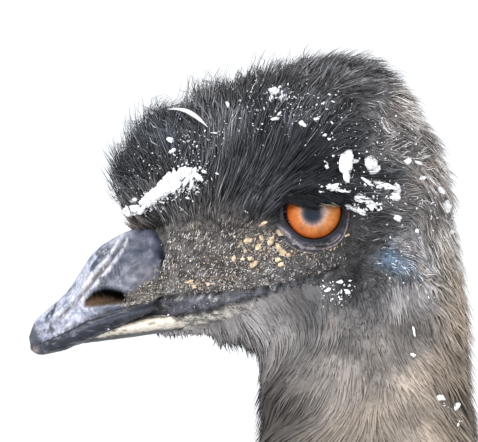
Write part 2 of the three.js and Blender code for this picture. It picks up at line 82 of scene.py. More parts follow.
def about_eye(p):
    """The side view place of points: x and z in mm from the eye line."""
    return p[..., 0] - EYE[0], p[..., 2] - EYE[2]


def points_at(x, y, z):
    """The points at places of the side view, for a given y."""
    return np.stack([x + EYE[0], y, z + EYE[2]], -1)


# %% Camera
aim = EYE + [CENTRE[0], 0, CENTRE[1]]
camera = bpy.data.objects.new("camera", bpy.data.cameras.new("camera"))
bpy.context.collection.objects.link(camera)
camera.data.sensor_width = 36.0
camera.data.lens = camera.data.sensor_width * CAMERA_AWAY / (PHOTO[0] / PX_PER_MM)
camera.data.clip_end = 100
camera.location = Vector((aim + [0, -CAMERA_AWAY, 0]) * MM + origin)
camera.rotation_euler = (np.pi / 2, 0, 0)
bpy.context.scene.camera = camera
print("lens, mm:", round(camera.data.lens))

# %% [markdown]
# ## Helpers
# A curve through rows of numbers, noise, smooth steps and a distance to a line are all that the shapes need. Each works
# on whole arrays.


# %% Curves and steps
def through(rows, t):
    """Catmull-Rom: a cubic through the rows whose slope at each row is half the step between its neighbours."""
    rows = np.asarray(rows, float)
    padded = np.vstack([2 * rows[0] - rows[1], rows, 2 * rows[-1] - rows[-2]])
    place = np.clip(t, 0, 1) * (len(rows) - 1)
    i = np.minimum(place.astype(int), len(rows) - 2)
    f = (place - i)[..., None]
    p0, p1, p2, p3 = (padded[i + k] for k in range(4))
    start, end = (p2 - p0) / 2, (p3 - p1) / 2
    return (
        (2 * f**3 - 3 * f**2 + 1) * p1
        + (f**3 - 2 * f**2 + f) * start
        + (3 * f**2 - 2 * f**3) * p2
        + (f**3 - f**2) * end
    )


def smooth(low, high, x):
    """0 below low and 1 above high, with a cubic between."""
    f = np.clip((x - low) / (high - low), 0, 1)
    return f * f * (3 - 2 * f)


def mix(a, b, f):
    """From a at f 0 to b at f 1."""
    a, b = np.asarray(a, float), np.asarray(b, float)
    return a + (b - a) * f


def over(colour, new, share):
    """A new colour laid over a colour, with a share from 0 to 1 at each place."""
    return mix(colour, new, np.clip(share, 0, 1)[..., None])


def unit(v):
    return v / np.maximum(np.linalg.norm(v, axis=-1, keepdims=True), 1e-9)


def dot(a, b):
    return np.sum(a * b, axis=-1, keepdims=True)


def off_line(x, z, line):
    """The distance from each place to the nearest piece of a line of points."""
    line = np.asarray(line, float)
    best = np.full(np.shape(x), 1e9)
    for (ax, az), (bx, bz) in zip(line[:-1], line[1:]):
        f = np.clip(((x - ax) * (bx - ax) + (z - az) * (bz - az)) / ((bx - ax) ** 2 + (bz - az) ** 2), 0, 1)
        best = np.minimum(best, np.hypot(x - ax - f * (bx - ax), z - az - f * (bz - az)))
    return best


def hill(distance, width):
    """1 on a line and falling off over a width, as a bell."""
    return np.exp(-((distance / width) ** 2))


HASH = (73856093, 19349663, 83492791, 2654435761)


def noise(p, size, seed=0):
    """Value noise from -1 to 1: random values at the corners of cubes of one size, joined smoothly between them."""
    cell = p / size + 100.5 + seed * 17.3
    low = np.floor(cell).astype(np.int64)
    f = cell - low
    f = f * f * (3 - 2 * f)
    total = np.zeros(p.shape[:-1])
    for corner in range(8):
        bits = np.array([corner & 1, corner >> 1 & 1, corner >> 2 & 1])
        c = low + bits
        mixed = c[..., 0] * HASH[0] ^ c[..., 1] * HASH[1] ^ c[..., 2] * HASH[2] ^ (seed * HASH[3])
        mixed = (mixed ^ (mixed >> 13)) * 1274126177 & 0xFFFFFFFF
        share = np.prod(np.where(bits, f, 1 - f), axis=-1)
        total += share * ((mixed >> 8 & 0xFFFF) / 32767.5 - 1)
    return total


# %% [markdown]
# ## Meshes
# A mesh is filled straight from arrays. A sheet of points becomes a closed tube of four-sided faces, and its two ends
# are closed with a fan.


# %% Arrays to meshes
def turned_out(points, faces):
    """The faces turned so that the volume they enclose, a sum of thin pyramids from the origin, is positive."""
    volume = 0.0
    for group in faces:
        a = points[group[:, 0]]
        for k in range(1, group.shape[1] - 1):
            volume += np.sum(a * np.cross(points[group[:, k]], points[group[:, k + 1]]))
    return faces if volume > 0 else [group[:, ::-1] for group in faces]


def set_tint(mesh, tint):
    """Keeps a colour for each point with the mesh."""
    layer = mesh.color_attributes.new("tint", "FLOAT_COLOR", "POINT")
    layer.data.foreach_set("color", np.column_stack([tint, np.ones(len(tint))]).astype(np.float32).ravel())


def new_piece(name, points, faces, material, slot=None, replaced=(), tint=None, bake_uv=None, smooth_faces=True):
    """A mesh object from points in mm and groups of faces of equal length, with its optional colour and bake map."""
    corners = np.concatenate([group.ravel() for group in faces])
    lengths = np.concatenate([np.full(len(group), group.shape[1]) for group in faces])
    mesh = bpy.data.meshes.new(name)
    mesh.vertices.add(len(points))
    mesh.vertices.foreach_set("co", (points * MM + origin).astype(np.float32).ravel())
    mesh.loops.add(len(corners))
    mesh.loops.foreach_set("vertex_index", corners.astype(np.int32))
    mesh.polygons.add(len(lengths))
    mesh.polygons.foreach_set("loop_start", (np.cumsum(lengths) - lengths).astype(np.int32))
    mesh.update(calc_edges=True)
    mesh.polygons.foreach_set("use_smooth", np.array(np.broadcast_to(smooth_faces, len(lengths))))
    if tint is not None:
        set_tint(mesh, tint)
    if bake_uv is not None:
        uv = mesh.uv_layers.new(name="OFBake")
        uv.data.foreach_set("uv", bake_uv[corners].astype(np.float32).ravel())
    mesh.materials.append(material)
    piece = bpy.data.objects.new(name, mesh)
    bpy.context.collection.objects.link(piece)
    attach(piece, "root")
    if replaced:
        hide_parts(*replaced)
    print(f"{name}: {len(corners) - 2 * len(lengths)} triangles")
    return piece


# %% Grids to tubes
def ring_grid(along, around):
    """Places along a tube and turns round it, as two grids."""
    return np.meshgrid(along, np.linspace(0, 2 * np.pi, around, endpoint=False), indexing="ij")


def quads_over(rows, around, steps):
    """The four-sided faces between the rings of a grid. As many steps as rows lead back to the first ring."""
    i, j = np.meshgrid(np.arange(steps), np.arange(around), indexing="ij")
    n, k = (i + 1) % rows, (j + 1) % around
    return np.stack([i * around + j, n * around + j, n * around + k, i * around + k], -1).reshape(-1, 4)


def tube(grid):
    """Points and faces of a closed tube: grid[i, j] goes along by i and round by j. Each end gets a middle point."""
    rows, around = grid.shape[:2]
    points = np.vstack([grid.reshape(-1, 3), grid[0].mean(0), grid[-1].mean(0)])
    ring, last = np.arange(around), (rows - 1) * around
    following = (ring + 1) % around
    first_fan = np.stack([ring, following, np.full(around, rows * around)], -1)
    last_fan = np.stack([last + following, last + ring, np.full(around, rows * around + 1)], -1)
    return points, turned_out(points, [quads_over(rows, around, rows - 1), np.vstack([first_fan, last_fan])])


def closed_both_ways(grid):
    """Points and faces of a ring whose section is a loop, so that it has no ends."""
    points = grid.reshape(-1, 3)
    return points, turned_out(points, [quads_over(*grid.shape[:2], len(grid))])


def joined_parts(parts):
    """Several (points, [quads, triangles]) as one."""
    points, quads, triangles, count = [], [], [], 0
    for part_points, (part_quads, part_triangles) in parts:
        points.append(part_points)
        quads.append(part_quads + count)
        triangles.append(part_triangles + count)
        count += len(part_points)
    return np.vstack(points), [np.vstack(quads), np.vstack(triangles)]


# %% [markdown]
# ## The bare body
# A bird's body is easiest to draw from the side: a line along its back and one along its front, with the half width
# between them. A ring round the body at station t then is a rounded oval from the back point to the front point. The
# same rows make the solids, so skin and solids agree.


# %% Rows of the outline
def from_eye(rows):
    """Rows of back x, back z, front x, front z, half width and place of the widest line, about the eye."""
    rows = np.array(rows, float)
    rows[:, [0, 2]] += EYE[0]
    rows[:, [1, 3]] += EYE[2]
    return rows


head_rows = from_eye([
    (-70, -8, -60, -45, 9, 0.45),
    (-63, 9, -50, -45.5, 17, 0.42),
    (-48, 26, -38, -45, 24, 0.45),
    (-28, 39, -26, -47, 29, 0.5),
    (-4, 45, -17, -52, 32, 0.55),
    (20, 43, -12.5, -57, 33, 0.58),
    (37, 28, -10, -61.5, 32, 0.58),
    (45, 4, -8.8, -66, 30, 0.54),
    (47.5, -25, -8.5, -72, 28, 0.5),
    (48.5, -55, -8.5, -82, 27, 0.5),
])
neck_and_trunk_rows = np.array([
    (-342, 1484, -403, 1476, 27, 0.5),
    (-334, 1400, -399, 1392, 28, 0.5),
    (-322, 1300, -396, 1290, 31, 0.5),
    (-311, 1200, -398, 1185, 37, 0.5),
    (-297, 1120, -406, 1095, 45, 0.5),
    (-272, 1055, -414, 1010, 60, 0.5),
    (-232, 1014, -408, 925, 88, 0.5),
    (-185, 1010, -378, 835, 120, 0.5),
    (-120, 1024, -320, 752, 150, 0.5),
    (-20, 1046, -205, 695, 174, 0.52),
    (90, 1054, -30, 668, 182, 0.52),
    (200, 1036, 140, 672, 172, 0.52),
    (298, 980, 268, 702, 140, 0.52),
    (366, 905, 352, 748, 92, 0.5),
    (404, 842, 398, 788, 40, 0.5),
    (412, 822, 410, 812, 8, 0.5),
])
body_rows = np.vstack([head_rows, neck_and_trunk_rows])


def station(row):
    return row / (len(body_rows) - 1)


# %% A limb from its rows
class Limb:
    """point(t, turn): the ring at station t, where turn is 0 on the back and a quarter turn on the left side. Under its
    widest line a ring is an oval at boxy 1, and its sides stand more upright the smaller boxy is."""

    def __init__(self, rows, y=0.0, relief=None, boxy=1.0):
        self.rows, self.y, self.relief, self.boxy = np.asarray(rows, float), y, relief, boxy

    def bare(self, t, turn):
        c = through(self.rows, t)
        back, front, half, widest = c[..., 0:2], c[..., 2:4], c[..., 4], c[..., 5:6]
        reach = np.cos(turn)[..., None]
        middle = front + (back - front) * widest
        side_view = middle + (np.where(reach > 0, back, front) - middle) * np.abs(reach)
        out = np.sign(np.sin(turn)) * np.abs(np.sin(turn)) ** np.where(reach[..., 0] > 0, 1.0, self.boxy)
        return np.stack([side_view[..., 0], self.y - half * out, side_view[..., 1]], -1)

    def slopes(self, t, turn, step=1e-3):
        """How the point moves for a unit of t and a unit of turn."""
        low, high = np.clip(t - step, 0, 1), np.clip(t + step, 0, 1)
        along = (self.bare(high, turn) - self.bare(low, turn)) / (high - low)[..., None]
        around = (self.bare(t, turn + step) - self.bare(t, turn - step)) / (2 * step)
        return along, around

    def normal(self, t, turn):
        along, around = self.slopes(np.clip(t, 0.004, 0.996), turn)
        return unit(np.cross(around, along))

    def point(self, t, turn, lift=0.0):
        bare = self.bare(t, turn)
        if self.relief:
            lift = lift + self.relief(bare)
        return bare + self.normal(t, turn) * np.asarray(lift)[..., None]


# %% [markdown]
# ## The relief of the face
# An emu's face is bare, dark skin with bristles. A brow ridge shades the eye, the eyeball sits in a socket, a leathery
# lip runs back from the bill to below the eye, with a sharp crease over it, and the ear is an open hole behind the
# cheek. Each is a small lift or dip of the bare surface, as a bell round a point or a line of the side view.

# %% Face relief
brow_line = [(-32, -1), (-20, 5.5), (-8, 8.2), (6, 8.6), (18, 7.0), (30, 0)]
mouth_line = [(-101, -53.6), (-93.6, -51.3), (-86.7, -48.9), (-76, -45.3), (-69.3, -43.4), (-61, -41.3), (-53, -39.9),
              (-46.7, -38.6), (-40.5, -37.2), (-32.3, -34.9), (-24.2, -32.9), (-14, -29.9), (3.4, -24.6)]
crease_line = [(-66, -34.4), (-58, -32.4), (-50, -31.6), (-31.4, -31.0), (-14, -28.0), (3.4, -23.5), (9, -21.2)]
EAR = (29.2, -17.6)
nasal_end = [(-40, -74), (-32, -71.2), (-28.4, -67.8), (-25.4, -59.8), (-15.5, -55.6), (-8.5, -56.2), (-3, -58)]
horn_top = [(-76, -9.6), (-70, -7.0), (-64, -4.8), (-56, -3.4)]


def at_line(x, line):
    """The height of a line of the side view at x."""
    return np.interp(x, *np.transpose(line))


# %% Down under the coat
PAD_ANGLES = [-60, -43, -23, -10, 5, 15, 31, 42, 55, 68, 80, 97, 115, 130, 138, 146, 158, 170, 178]
PAD_DEPTHS = [7, 7, 6.5, 5, 5.5, 5.5, 5, 8, 11.5, 11.5, 9.5, 7.5, 7.0, 10, 14, 14.5, 12.5, 8.5, 7]


def down_pad(x, z):
    """The down under the coat, in mm. Round the head its depth goes by the angle about the middle of the head, and it
    ends softly at the bill, the brow and the ear. Under the throat it runs on down the neck."""
    depth = np.interp(np.degrees(np.arctan2(z, x + 10)), PAD_ANGLES, PAD_DEPTHS)
    crown = smooth(10, 30, z + 0.25 * x)
    forehead = smooth(-5, 7, z) * smooth(-36, -48, x)
    nape = smooth(26, 42, x)
    on_head = np.maximum(np.maximum(crown, forehead) * smooth(-78, -68, x - 0.2 * z), nape)
    neck = mix(5.0, 7.5, smooth(15, -8, x)) * smooth(-44, -60, z) * smooth(-42, -20, x)
    return np.maximum(depth * on_head, neck) * smooth(-560, -200, z)


# %% Lifts of the face
def past_horn(x, z):
    """How far a place is behind the end of the horn, in mm along the side view."""
    return x - np.interp(z, *np.transpose(nasal_end))


def under_horn(x, z):
    """1 where the skin lies under the horn of the bill."""
    return smooth(0.8, -0.8, past_horn(x, z)) * smooth(0.9, -0.9, z - at_line(x, horn_top))


def face_relief(p):
    """Lift in mm: brow ridge, socket, lip band with its crease, mouth groove, ear hole and the pad of the crest."""
    x, z = about_eye(p)
    flank, under = smooth(8, 18, np.abs(p[..., 1])), under_horn(x, z)
    lip, crease = at_line(x, mouth_line), at_line(x, crease_line)
    in_band = smooth(lip - 0.2, lip + 1.0, z) * smooth(crease + 0.4, crease - 1.0, z)
    in_band = in_band * smooth(10, 3, x) * smooth(-68, -60, x)
    ear = np.hypot((x - EAR[0]) / 0.8, z - EAR[1])
    socket = np.hypot(x, (z + 1) / np.where(z > -1, 0.55, 1.0))
    grainy = smooth(24, 12, np.hypot((x + 33) / 1.3, z + 14))
    lift = (
        5.8 * hill(off_line(x, z, brow_line), 4.4) - 4.5 * smooth(19.0, 12, socket)
        + 1.5 * in_band - 1.1 * hill(off_line(x, z, crease_line), 0.7)
        - 1.6 * hill(off_line(x, z, mouth_line[5:]), 0.7) + 0.5 * hill(z - lip + 2.0, 1.2) * smooth(-20, -30, x)
        - 1.5 * hill(ear, 3.0) + 0.5 * hill(ear - 6.5, 1.4)
        + (0.22 + 0.2 * grainy) * noise(p, 3.2, 3) + (0.12 + 0.22 * grainy) * noise(p, 1.1, 4)
    )
    return lift * (1 - under) * flank * (z > -80) + down_pad(x, z) - 5.0 * under * (z > -42)


body = Limb(body_rows, relief=face_relief)

# %% [markdown]
# ## How the feathers of the head lie
# A feathered head is combed by its feathers' own directions. Guides at places of the side view say which way the
# feathers point, how steeply they stand, how long they are and how light. Between guides the values are shared by
# distance, so the lie turns smoothly from the upright crest to the nape.

# %% Guides: x, z, way x, way z, stand, length, lightness, warmth
guides = np.array([
    (-70, -5, -0.70, 0.72, 1.00, 5, 0.13, 0.7),        # at the root of the bill
    (-68, 4, -0.75, 0.66, 1.00, 11, 0.075, 0.0),       # low forehead
    (-60, 18, -0.62, 0.78, 0.90, 9, 0.060, -0.3),      # forehead
    (-50, 30, -0.35, 0.93, 1.00, 10, 0.095, 0.2),      # top of the forehead
    (-36, 37, -0.15, 0.98, 1.00, 10, 0.095, 0.1),      # front of the crown
    (-22, 42, 0.05, 0.60, 0.95, 9, 0.09, 0.1),         # crown, in front
    (-4, 45, 0.30, 0.50, 0.90, 7, 0.115, 0.1),         # crown
    (14, 44, 0.60, 0.30, 1.00, 7, 0.14, 0.2),          # top of the crown
    (32, 34, 0.80, -0.25, 0.90, 7, 0.42, 0.6),         # back of the crown
    (43, 14, 0.80, -0.45, 0.60, 9, 0.42, 0.6),         # nape
    (47, -10, 0.72, -0.65, 0.60, 10, 0.54, 0.7),       # lower nape
    (-46, 20, -0.35, 0.92, 0.80, 8, 0.072, -0.3),      # side of the forehead
    (-34, 22, -0.05, 1.00, 0.60, 12, 0.14, 0.0),       # pale streaks before the crown
    (-20, 24, 0.20, 0.95, 0.50, 12, 0.065, -0.2),      # side of the crown
    (0, 32, 0.55, 0.60, 0.70, 7, 0.085, 0.0),          # side of the crown, in the middle
    (12, 27, 0.80, 0.30, 0.70, 6, 0.070, 0.0),         # side of the crown, behind
    (26, 24, 0.90, -0.05, 0.60, 7, 0.22, 0.3),         # side of the crown, at the back
    (-30, 10, 0.25, 0.97, 0.35, 15, 0.052, -0.1),      # over the brow, in front
    (-14, 13, 0.60, 0.80, 0.28, 16, 0.036, -0.3),      # over the brow
    (6, 17, 0.85, 0.50, 0.25, 13, 0.038, -0.2),        # over the brow, behind
    (-47, 4, -0.20, 0.95, 0.50, 7, 0.060, 0.1),        # over the lore
    (-44, -4, -0.30, 0.90, 0.50, 5, 0.085, 0.3),       # top of the lore
    (-6, 8, 0.95, 0.10, 0.18, 9, 0.026, -0.4),         # on the brow
    (8, 9, 0.98, -0.05, 0.18, 9, 0.024, -0.2),         # on the brow, behind
    (22, 12, 0.95, 0.20, 0.22, 12, 0.065, 0.0),        # behind the brow
    (18, -2, 1.00, 0.00, 0.28, 9, 0.050, 0.1),         # behind the eye
    (15, -13, 1.00, -0.12, 0.26, 8, 0.042, 0.2),       # behind the lower lid
    (22, -12, 1.00, 0.00, 0.26, 9, 0.065, 0.1),        # before the ear
    (34, 4, 0.97, -0.10, 0.25, 12, 0.25, 0.4),         # upper ear coverts
    (33, -14, 0.95, -0.30, 0.22, 10, 0.36, 0.3),       # over the ear
    (28.6, -17.6, 0.97, -0.22, 0.20, 8, 0.30, -1.25),  # the blue ear
    (24, -26, 0.92, -0.38, 0.24, 9, 0.060, 0.2),       # under the ear
    (13, -24, 0.97, -0.25, 0.24, 9, 0.030, 0.1),       # behind the mouth
    (14, -31, 0.88, -0.48, 0.20, 10, 0.040, 0.1),      # cheek
    (32, -30, 0.78, -0.62, 0.20, 11, 0.25, 0.3),       # back of the cheek
    (0, -36, 0.87, -0.50, 0.22, 8, 0.12, 0.2),         # cheek, below the mouth
    (-20, -40, 0.72, -0.70, 0.30, 8, 0.24, 0.3),       # jaw
    (-45, -47, 0.20, -0.97, 0.70, 2.6, 0.36, 0.3),     # chin
    (-30, -47, 0.15, -0.98, 0.70, 9.5, 0.18, 0.3),     # under the jaw
    (-14, -47, 0.62, -0.78, 0.35, 11, 0.16, 0.4),      # throat
    (6, -40, 0.90, -0.44, 0.22, 10, 0.21, 0.5),        # side of the throat
    (12, -47, 0.82, -0.58, 0.20, 10, 0.085, 0.4),      # dark band under the cheek
    (32, -44, 0.66, -0.75, 0.22, 11, 0.17, 0.5),       # side of the neck
    (49, -35, 0.70, -0.72, 0.65, 13, 0.34, 1.05),      # back of the neck
    (-6, -61, -0.80, -0.45, 0.60, 13, 0.045, 0.5),     # front of the neck
    (9, -55, 0.62, -0.78, 0.22, 11, 0.30, 0.6),        # pale side of the neck
    (21, -54, 0.70, -0.70, 0.22, 12, 0.10, 0.6),       # dark side of the neck
    (36, -60, 0.70, -0.70, 0.35, 12, 0.26, 0.9),       # side of the neck, behind
    (-2, -79, -0.88, -0.35, 0.60, 14, 0.055, 0.6),     # lower front of the neck
    (1, -66, -0.15, -0.98, 0.30, 13, 0.042, 0.6),      # dark front of the neck
    (20, -71, 0.10, -0.99, 0.26, 13, 0.36, 0.9),       # lower side of the neck
    (42, -78, 0.60, -0.80, 0.50, 13, 0.27, 1.0),       # lower back of the neck
    (-66, 11, -0.75, 0.66, 1.00, 12, 0.070, -0.2),     # forehead, half way up
    (-6, -52, 0.30, -0.93, 0.35, 12, 0.10, 0.5),       # front of the throat
    (15, -61, 0.50, -0.86, 0.22, 12, 0.24, 0.7),       # under the pale side
    (30, -74, 0.60, -0.80, 0.30, 13, 0.26, 0.8),       # lower side, behind
    (9, -81, -0.50, -0.85, 0.30, 13, 0.12, 0.8),       # lower side, in front
    (13, -37, 0.85, -0.50, 0.20, 10, 0.12, 0.3),       # cheek, low
    (0, -45, 0.75, -0.66, 0.22, 10, 0.13, 0.4),        # dark band, in front
    (3, -54, 0.60, -0.80, 0.24, 10, 0.24, 0.5),        # pale side, in front
    (47, -22, 0.72, -0.66, 0.60, 11, 0.44, 0.95),      # brown back edge
    (44, -54, 0.68, -0.72, 0.55, 13, 0.31, 1.0),       # brown back edge, lower
])


def head_guide(p):
    """Guide values shared by the inverse fourth power of the distance in the side view."""
    x, z = about_eye(p)
    near = 1 / ((x[..., None] - guides[:, 0]) ** 2 + (z[..., None] - guides[:, 1]) ** 2 + 6) ** 2
    near /= near.sum(-1, keepdims=True)
    return near @ guides[:, 2:]


# %% [markdown]
# ## Feathers as needles
# Hair systems are lost when a model is exported, so each tuft is real mesh: a flat, three-sided needle that grows from
# the skin, follows the lie and rises from it by its stand. Where the surface turns under, a long feather hangs free.


# %% Grow the spines
def grow(limb, t, turn, length, way, stand, steps, hang=0.0, root=-0.6):
    """Spines of many feathers. Each step follows the lie over the surface and rises from it by its stand, which eases
    off. Where the surface turns under, the feather leaves it by its hang and falls."""
    height = np.broadcast_to(root, t.shape)
    p = limb.point(t, turn, height)
    spine, outs = [p], []
    stride = length / steps
    for k in range(steps):
        out = limb.normal(t, turn)
        lie = way(p, turn)
        flat = lie - dot(lie, out) * out
        flat = flat / np.maximum(np.linalg.norm(flat, axis=-1, keepdims=True), 0.35)
        tilt = stand * (1 - 0.6 * k / steps)
        loose = np.clip(np.reshape(hang, (-1, 1)) * smooth(-0.1, 0.5, -out[..., 2:3]), 0, 1)
        along, around = limb.slopes(t, turn)
        ahead = flat * (stride * np.cos(tilt))[..., None]
        held = 1 - loose[..., 0]
        t = np.clip(t + (dot(ahead, along) / dot(along, along))[..., 0] * held, 0, 1)
        turn = turn + (dot(ahead, around) / dot(around, around))[..., 0] * held
        height = height + stride * np.sin(tilt)
        direction = unit(flat * np.cos(tilt)[..., None] + out * np.sin(tilt)[..., None])
        falling = unit(direction * (1 - loose) + np.array([0.2, 0, -0.98]) * loose)
        p = mix(limb.point(t, turn, height), p + falling * stride[..., None], np.clip(3 * loose, 0, 1))
        spine.append(p)
        outs.append(out)
    return np.stack(spine, 1), np.stack([*outs, outs[-1]], 1)


# %% Needles on the spines
def needles(spine, outs, width, thick, belly=0.35):
    """Three points round each spine point but the last, which is the tip. Width swells to the belly, then tapers."""
    count, rings = spine.shape[0], spine.shape[1] - 1
    way = unit(np.gradient(spine, axis=1))
    side = unit(np.cross(way, outs))
    up = np.cross(side, way)
    share = np.arange(rings) / rings
    swell = np.where(share < belly, 0.55 + 0.45 * share / belly, 1 - 0.55 * (share - belly) / (1 - belly))
    w = (width[:, None] * swell * 0.5)[..., None]
    h = (thick[:, None] * (1 - 0.4 * share))[..., None]
    ring = np.stack([
        spine[:, :-1] + side[:, :-1] * w,
        spine[:, :-1] + up[:, :-1] * h,
        spine[:, :-1] - side[:, :-1] * w,
    ], 2)
    points = np.concatenate([ring.reshape(count, rings * 3, 3), spine[:, -1:]], 1)
    template = [(0, 1, 2)]
    for r in range(rings - 1):
        for c in range(3):
            a, b = 3 * r + c, 3 * r + (c + 1) % 3
            template += [(a, a + 3, b + 3), (a, b + 3, b)]
    template += [(3 * rings - 3 + c, 3 * rings, 3 * rings - 3 + (c + 1) % 3) for c in range(3)]
    faces = (np.arange(count)[:, None, None] * (3 * rings + 1) + np.array(template)[None]).reshape(-1, 3)
    shares = np.append(np.repeat(share, 3), 1.0)
    return points.reshape(-1, 3), faces, np.tile(shares, count)


# %% Wisps
def gathered(spine, size, pull):
    """Wisps: feathers whose roots share a wavy cube of one size lean towards its middle feather, most at the tips."""
    wave = np.stack([noise(spine[:, 0], size * 1.7, 67 + axis) for axis in range(3)], -1)
    root = spine[:, 0] + 0.6 * size * wave
    wisp = np.unique(np.floor(root / size).astype(int), axis=0, return_inverse=True)[1].ravel()
    count = np.bincount(wisp)
    middle = np.stack([np.bincount(wisp, column) / count for column in spine.reshape(len(spine), -1).T], -1)
    share = np.linspace(0, 1, spine.shape[1])[None, :, None] ** 1.3
    return mix(spine, middle[wisp].reshape(spine.shape), share * np.asarray(pull).reshape(-1, 1, 1))


# %% Bake patches and roots
PATCH = 0.003


def bake_patches(t, turn, per_tuft):
    """Each tuft's patch on an unwrap of the skin by station and turn, about PATCH across."""
    root = np.stack([(turn / (2 * np.pi)) % 1, t], -1)
    spin = np.linspace(0, 2 * np.pi, per_tuft, endpoint=False)
    ring = np.stack([np.cos(spin), np.sin(spin)], -1) * PATCH / 2
    return (root[:, None] + ring[None]).reshape(-1, 2)


DRAWS = 6


def scatter(limb, first, last, count, keep=None):
    """Random roots, evenly by area between two stations: of some draws for each root, one is kept in proportion to its
    patch of surface."""
    t = rng.uniform(first, last, count * DRAWS)
    turn = rng.uniform(0, 2 * np.pi, count * DRAWS)
    along, around = limb.slopes(t, turn)
    area = np.linalg.norm(np.cross(along, around), axis=-1)
    if keep is not None:
        area = area * keep(limb.bare(t, turn), t)
    kept = np.nonzero(rng.uniform(0, np.quantile(area, 0.995), count * DRAWS) < area)[0][:count]
    return t[kept], turn[kept]


# %% [markdown]
# ## Finishes
# A shader node group adds the fine mottling that skin, horn and feathers share. Each material sets its own size and
# strength, and its plain numbers stay on the shader.

# %% A shared mottle group
def mottle_group():
    """Darker and lighter patches on a colour, and a fine grain for the bump, from two noises on Object coordinates."""
    group = bpy.data.node_groups.new("mottle", "ShaderNodeTree")
    for label, way, kind in (("Colour", "INPUT", "Color"), ("Size", "INPUT", "Float"), ("Strength", "INPUT", "Float"),
                             ("Colour", "OUTPUT", "Color"), ("Grain", "OUTPUT", "Float")):
        group.interface.new_socket(label, in_out=way, socket_type=f"NodeSocket{kind}")
    nodes, links = group.nodes, group.links
    given, result = nodes.new("NodeGroupInput"), nodes.new("NodeGroupOutput")
    place = nodes.new("ShaderNodeTexCoord")

    def calculated(operation, *inputs):
        node = nodes.new("ShaderNodeMath")
        node.operation = operation
        for socket, value in zip(node.inputs, inputs):
            if isinstance(value, float):
                socket.default_value = value
            else:
                links.new(value, socket)
        return node.outputs[0]

    def cloudy(size, detail):
        texture = nodes.new("ShaderNodeTexNoise")
        texture.inputs["Detail"].default_value = detail
        links.new(place.outputs["Object"], texture.inputs["Vector"])
        links.new(size, texture.inputs["Scale"])
        return texture.outputs["Fac"]

    coarse = cloudy(given.outputs["Size"], 4)
    fine = cloudy(calculated("MULTIPLY", given.outputs["Size"], 6.0), 6)
    centred = calculated("SUBTRACT", calculated("ADD", coarse, fine), 1.0)
    shade = calculated("MULTIPLY_ADD", centred, given.outputs["Strength"], 1.0)
    shaded = nodes.new("ShaderNodeVectorMath")
    shaded.operation = "SCALE"
    links.new(given.outputs["Colour"], shaded.inputs[0])
    links.new(shade, shaded.inputs["Scale"])
    links.new(shaded.outputs[0], result.inputs["Colour"])
    links.new(fine, result.inputs["Grain"])
    return group


mottle = mottle_group()


# %% Materials
def finish(name, roughness, size=60.0, strength=1.0, bump=0.2, bump_mm=0.3, **sockets):
    """A Principled material whose colour is the mesh's tint, mottled, with the grain as a fine bump."""
    material = bpy.data.materials.new(name)
    material.use_nodes = True
    nodes, links = material.node_tree.nodes, material.node_tree.links
    shader = nodes["Principled BSDF"]
    for socket, value in {"Roughness": roughness, **sockets}.items():
        shader.inputs[socket.replace("_", " ")].default_value = value
    tint, dress = nodes.new("ShaderNodeVertexColor"), nodes.new("ShaderNodeGroup")
    tint.layer_name = "tint"
    dress.node_tree = mottle
    dress.inputs["Size"].default_value = size
    dress.inputs["Strength"].default_value = strength
    links.new(tint.outputs["Color"], dress.inputs["Colour"])
    links.new(dress.outputs["Colour"], shader.inputs["Base Color"])
    if bump:
        relief = nodes.new("ShaderNodeBump")
        relief.inputs["Strength"].default_value = bump
        relief.inputs["Distance"].default_value = bump_mm * MM
        links.new(dress.outputs["Grain"], relief.inputs["Height"])
        links.new(relief.outputs["Normal"], shader.inputs["Normal"])
    return material


feather_finish = finish("feathers", 0.55, size=160, strength=0.8, bump=0, Specular_IOR_Level=0.25)
skin_finish = finish("skin", 0.6, size=300, strength=3.2, bump=0.8, bump_mm=0.7, Specular_IOR_Level=0.3)
horn_finish = finish("horn", 0.4, size=220, strength=1.2, bump=0.3, bump_mm=0.2, Specular_IOR_Level=0.35)
scale_finish = finish("leg scales", 0.6, size=120, strength=0.6, bump=0.4, bump_mm=0.5)
claw_finish = finish("claws", 0.35, size=150, strength=0.6, bump=0.2)

# %% [markdown]
# ## The skin
# One skin runs from the bill over the head, neck and trunk, and the thighs are joined to it. It lies under the coat by
# the coat's depth and shows only on the face.


# %% Skin colours
def hue_of(warmth):
    """Bluish grey at warmth 0, brown grey at 1, and further each way."""
    return mix([0.96, 0.97, 1.06], [1.22, 1.0, 0.80], np.clip(warmth, -1.5, 2.5)[..., None])


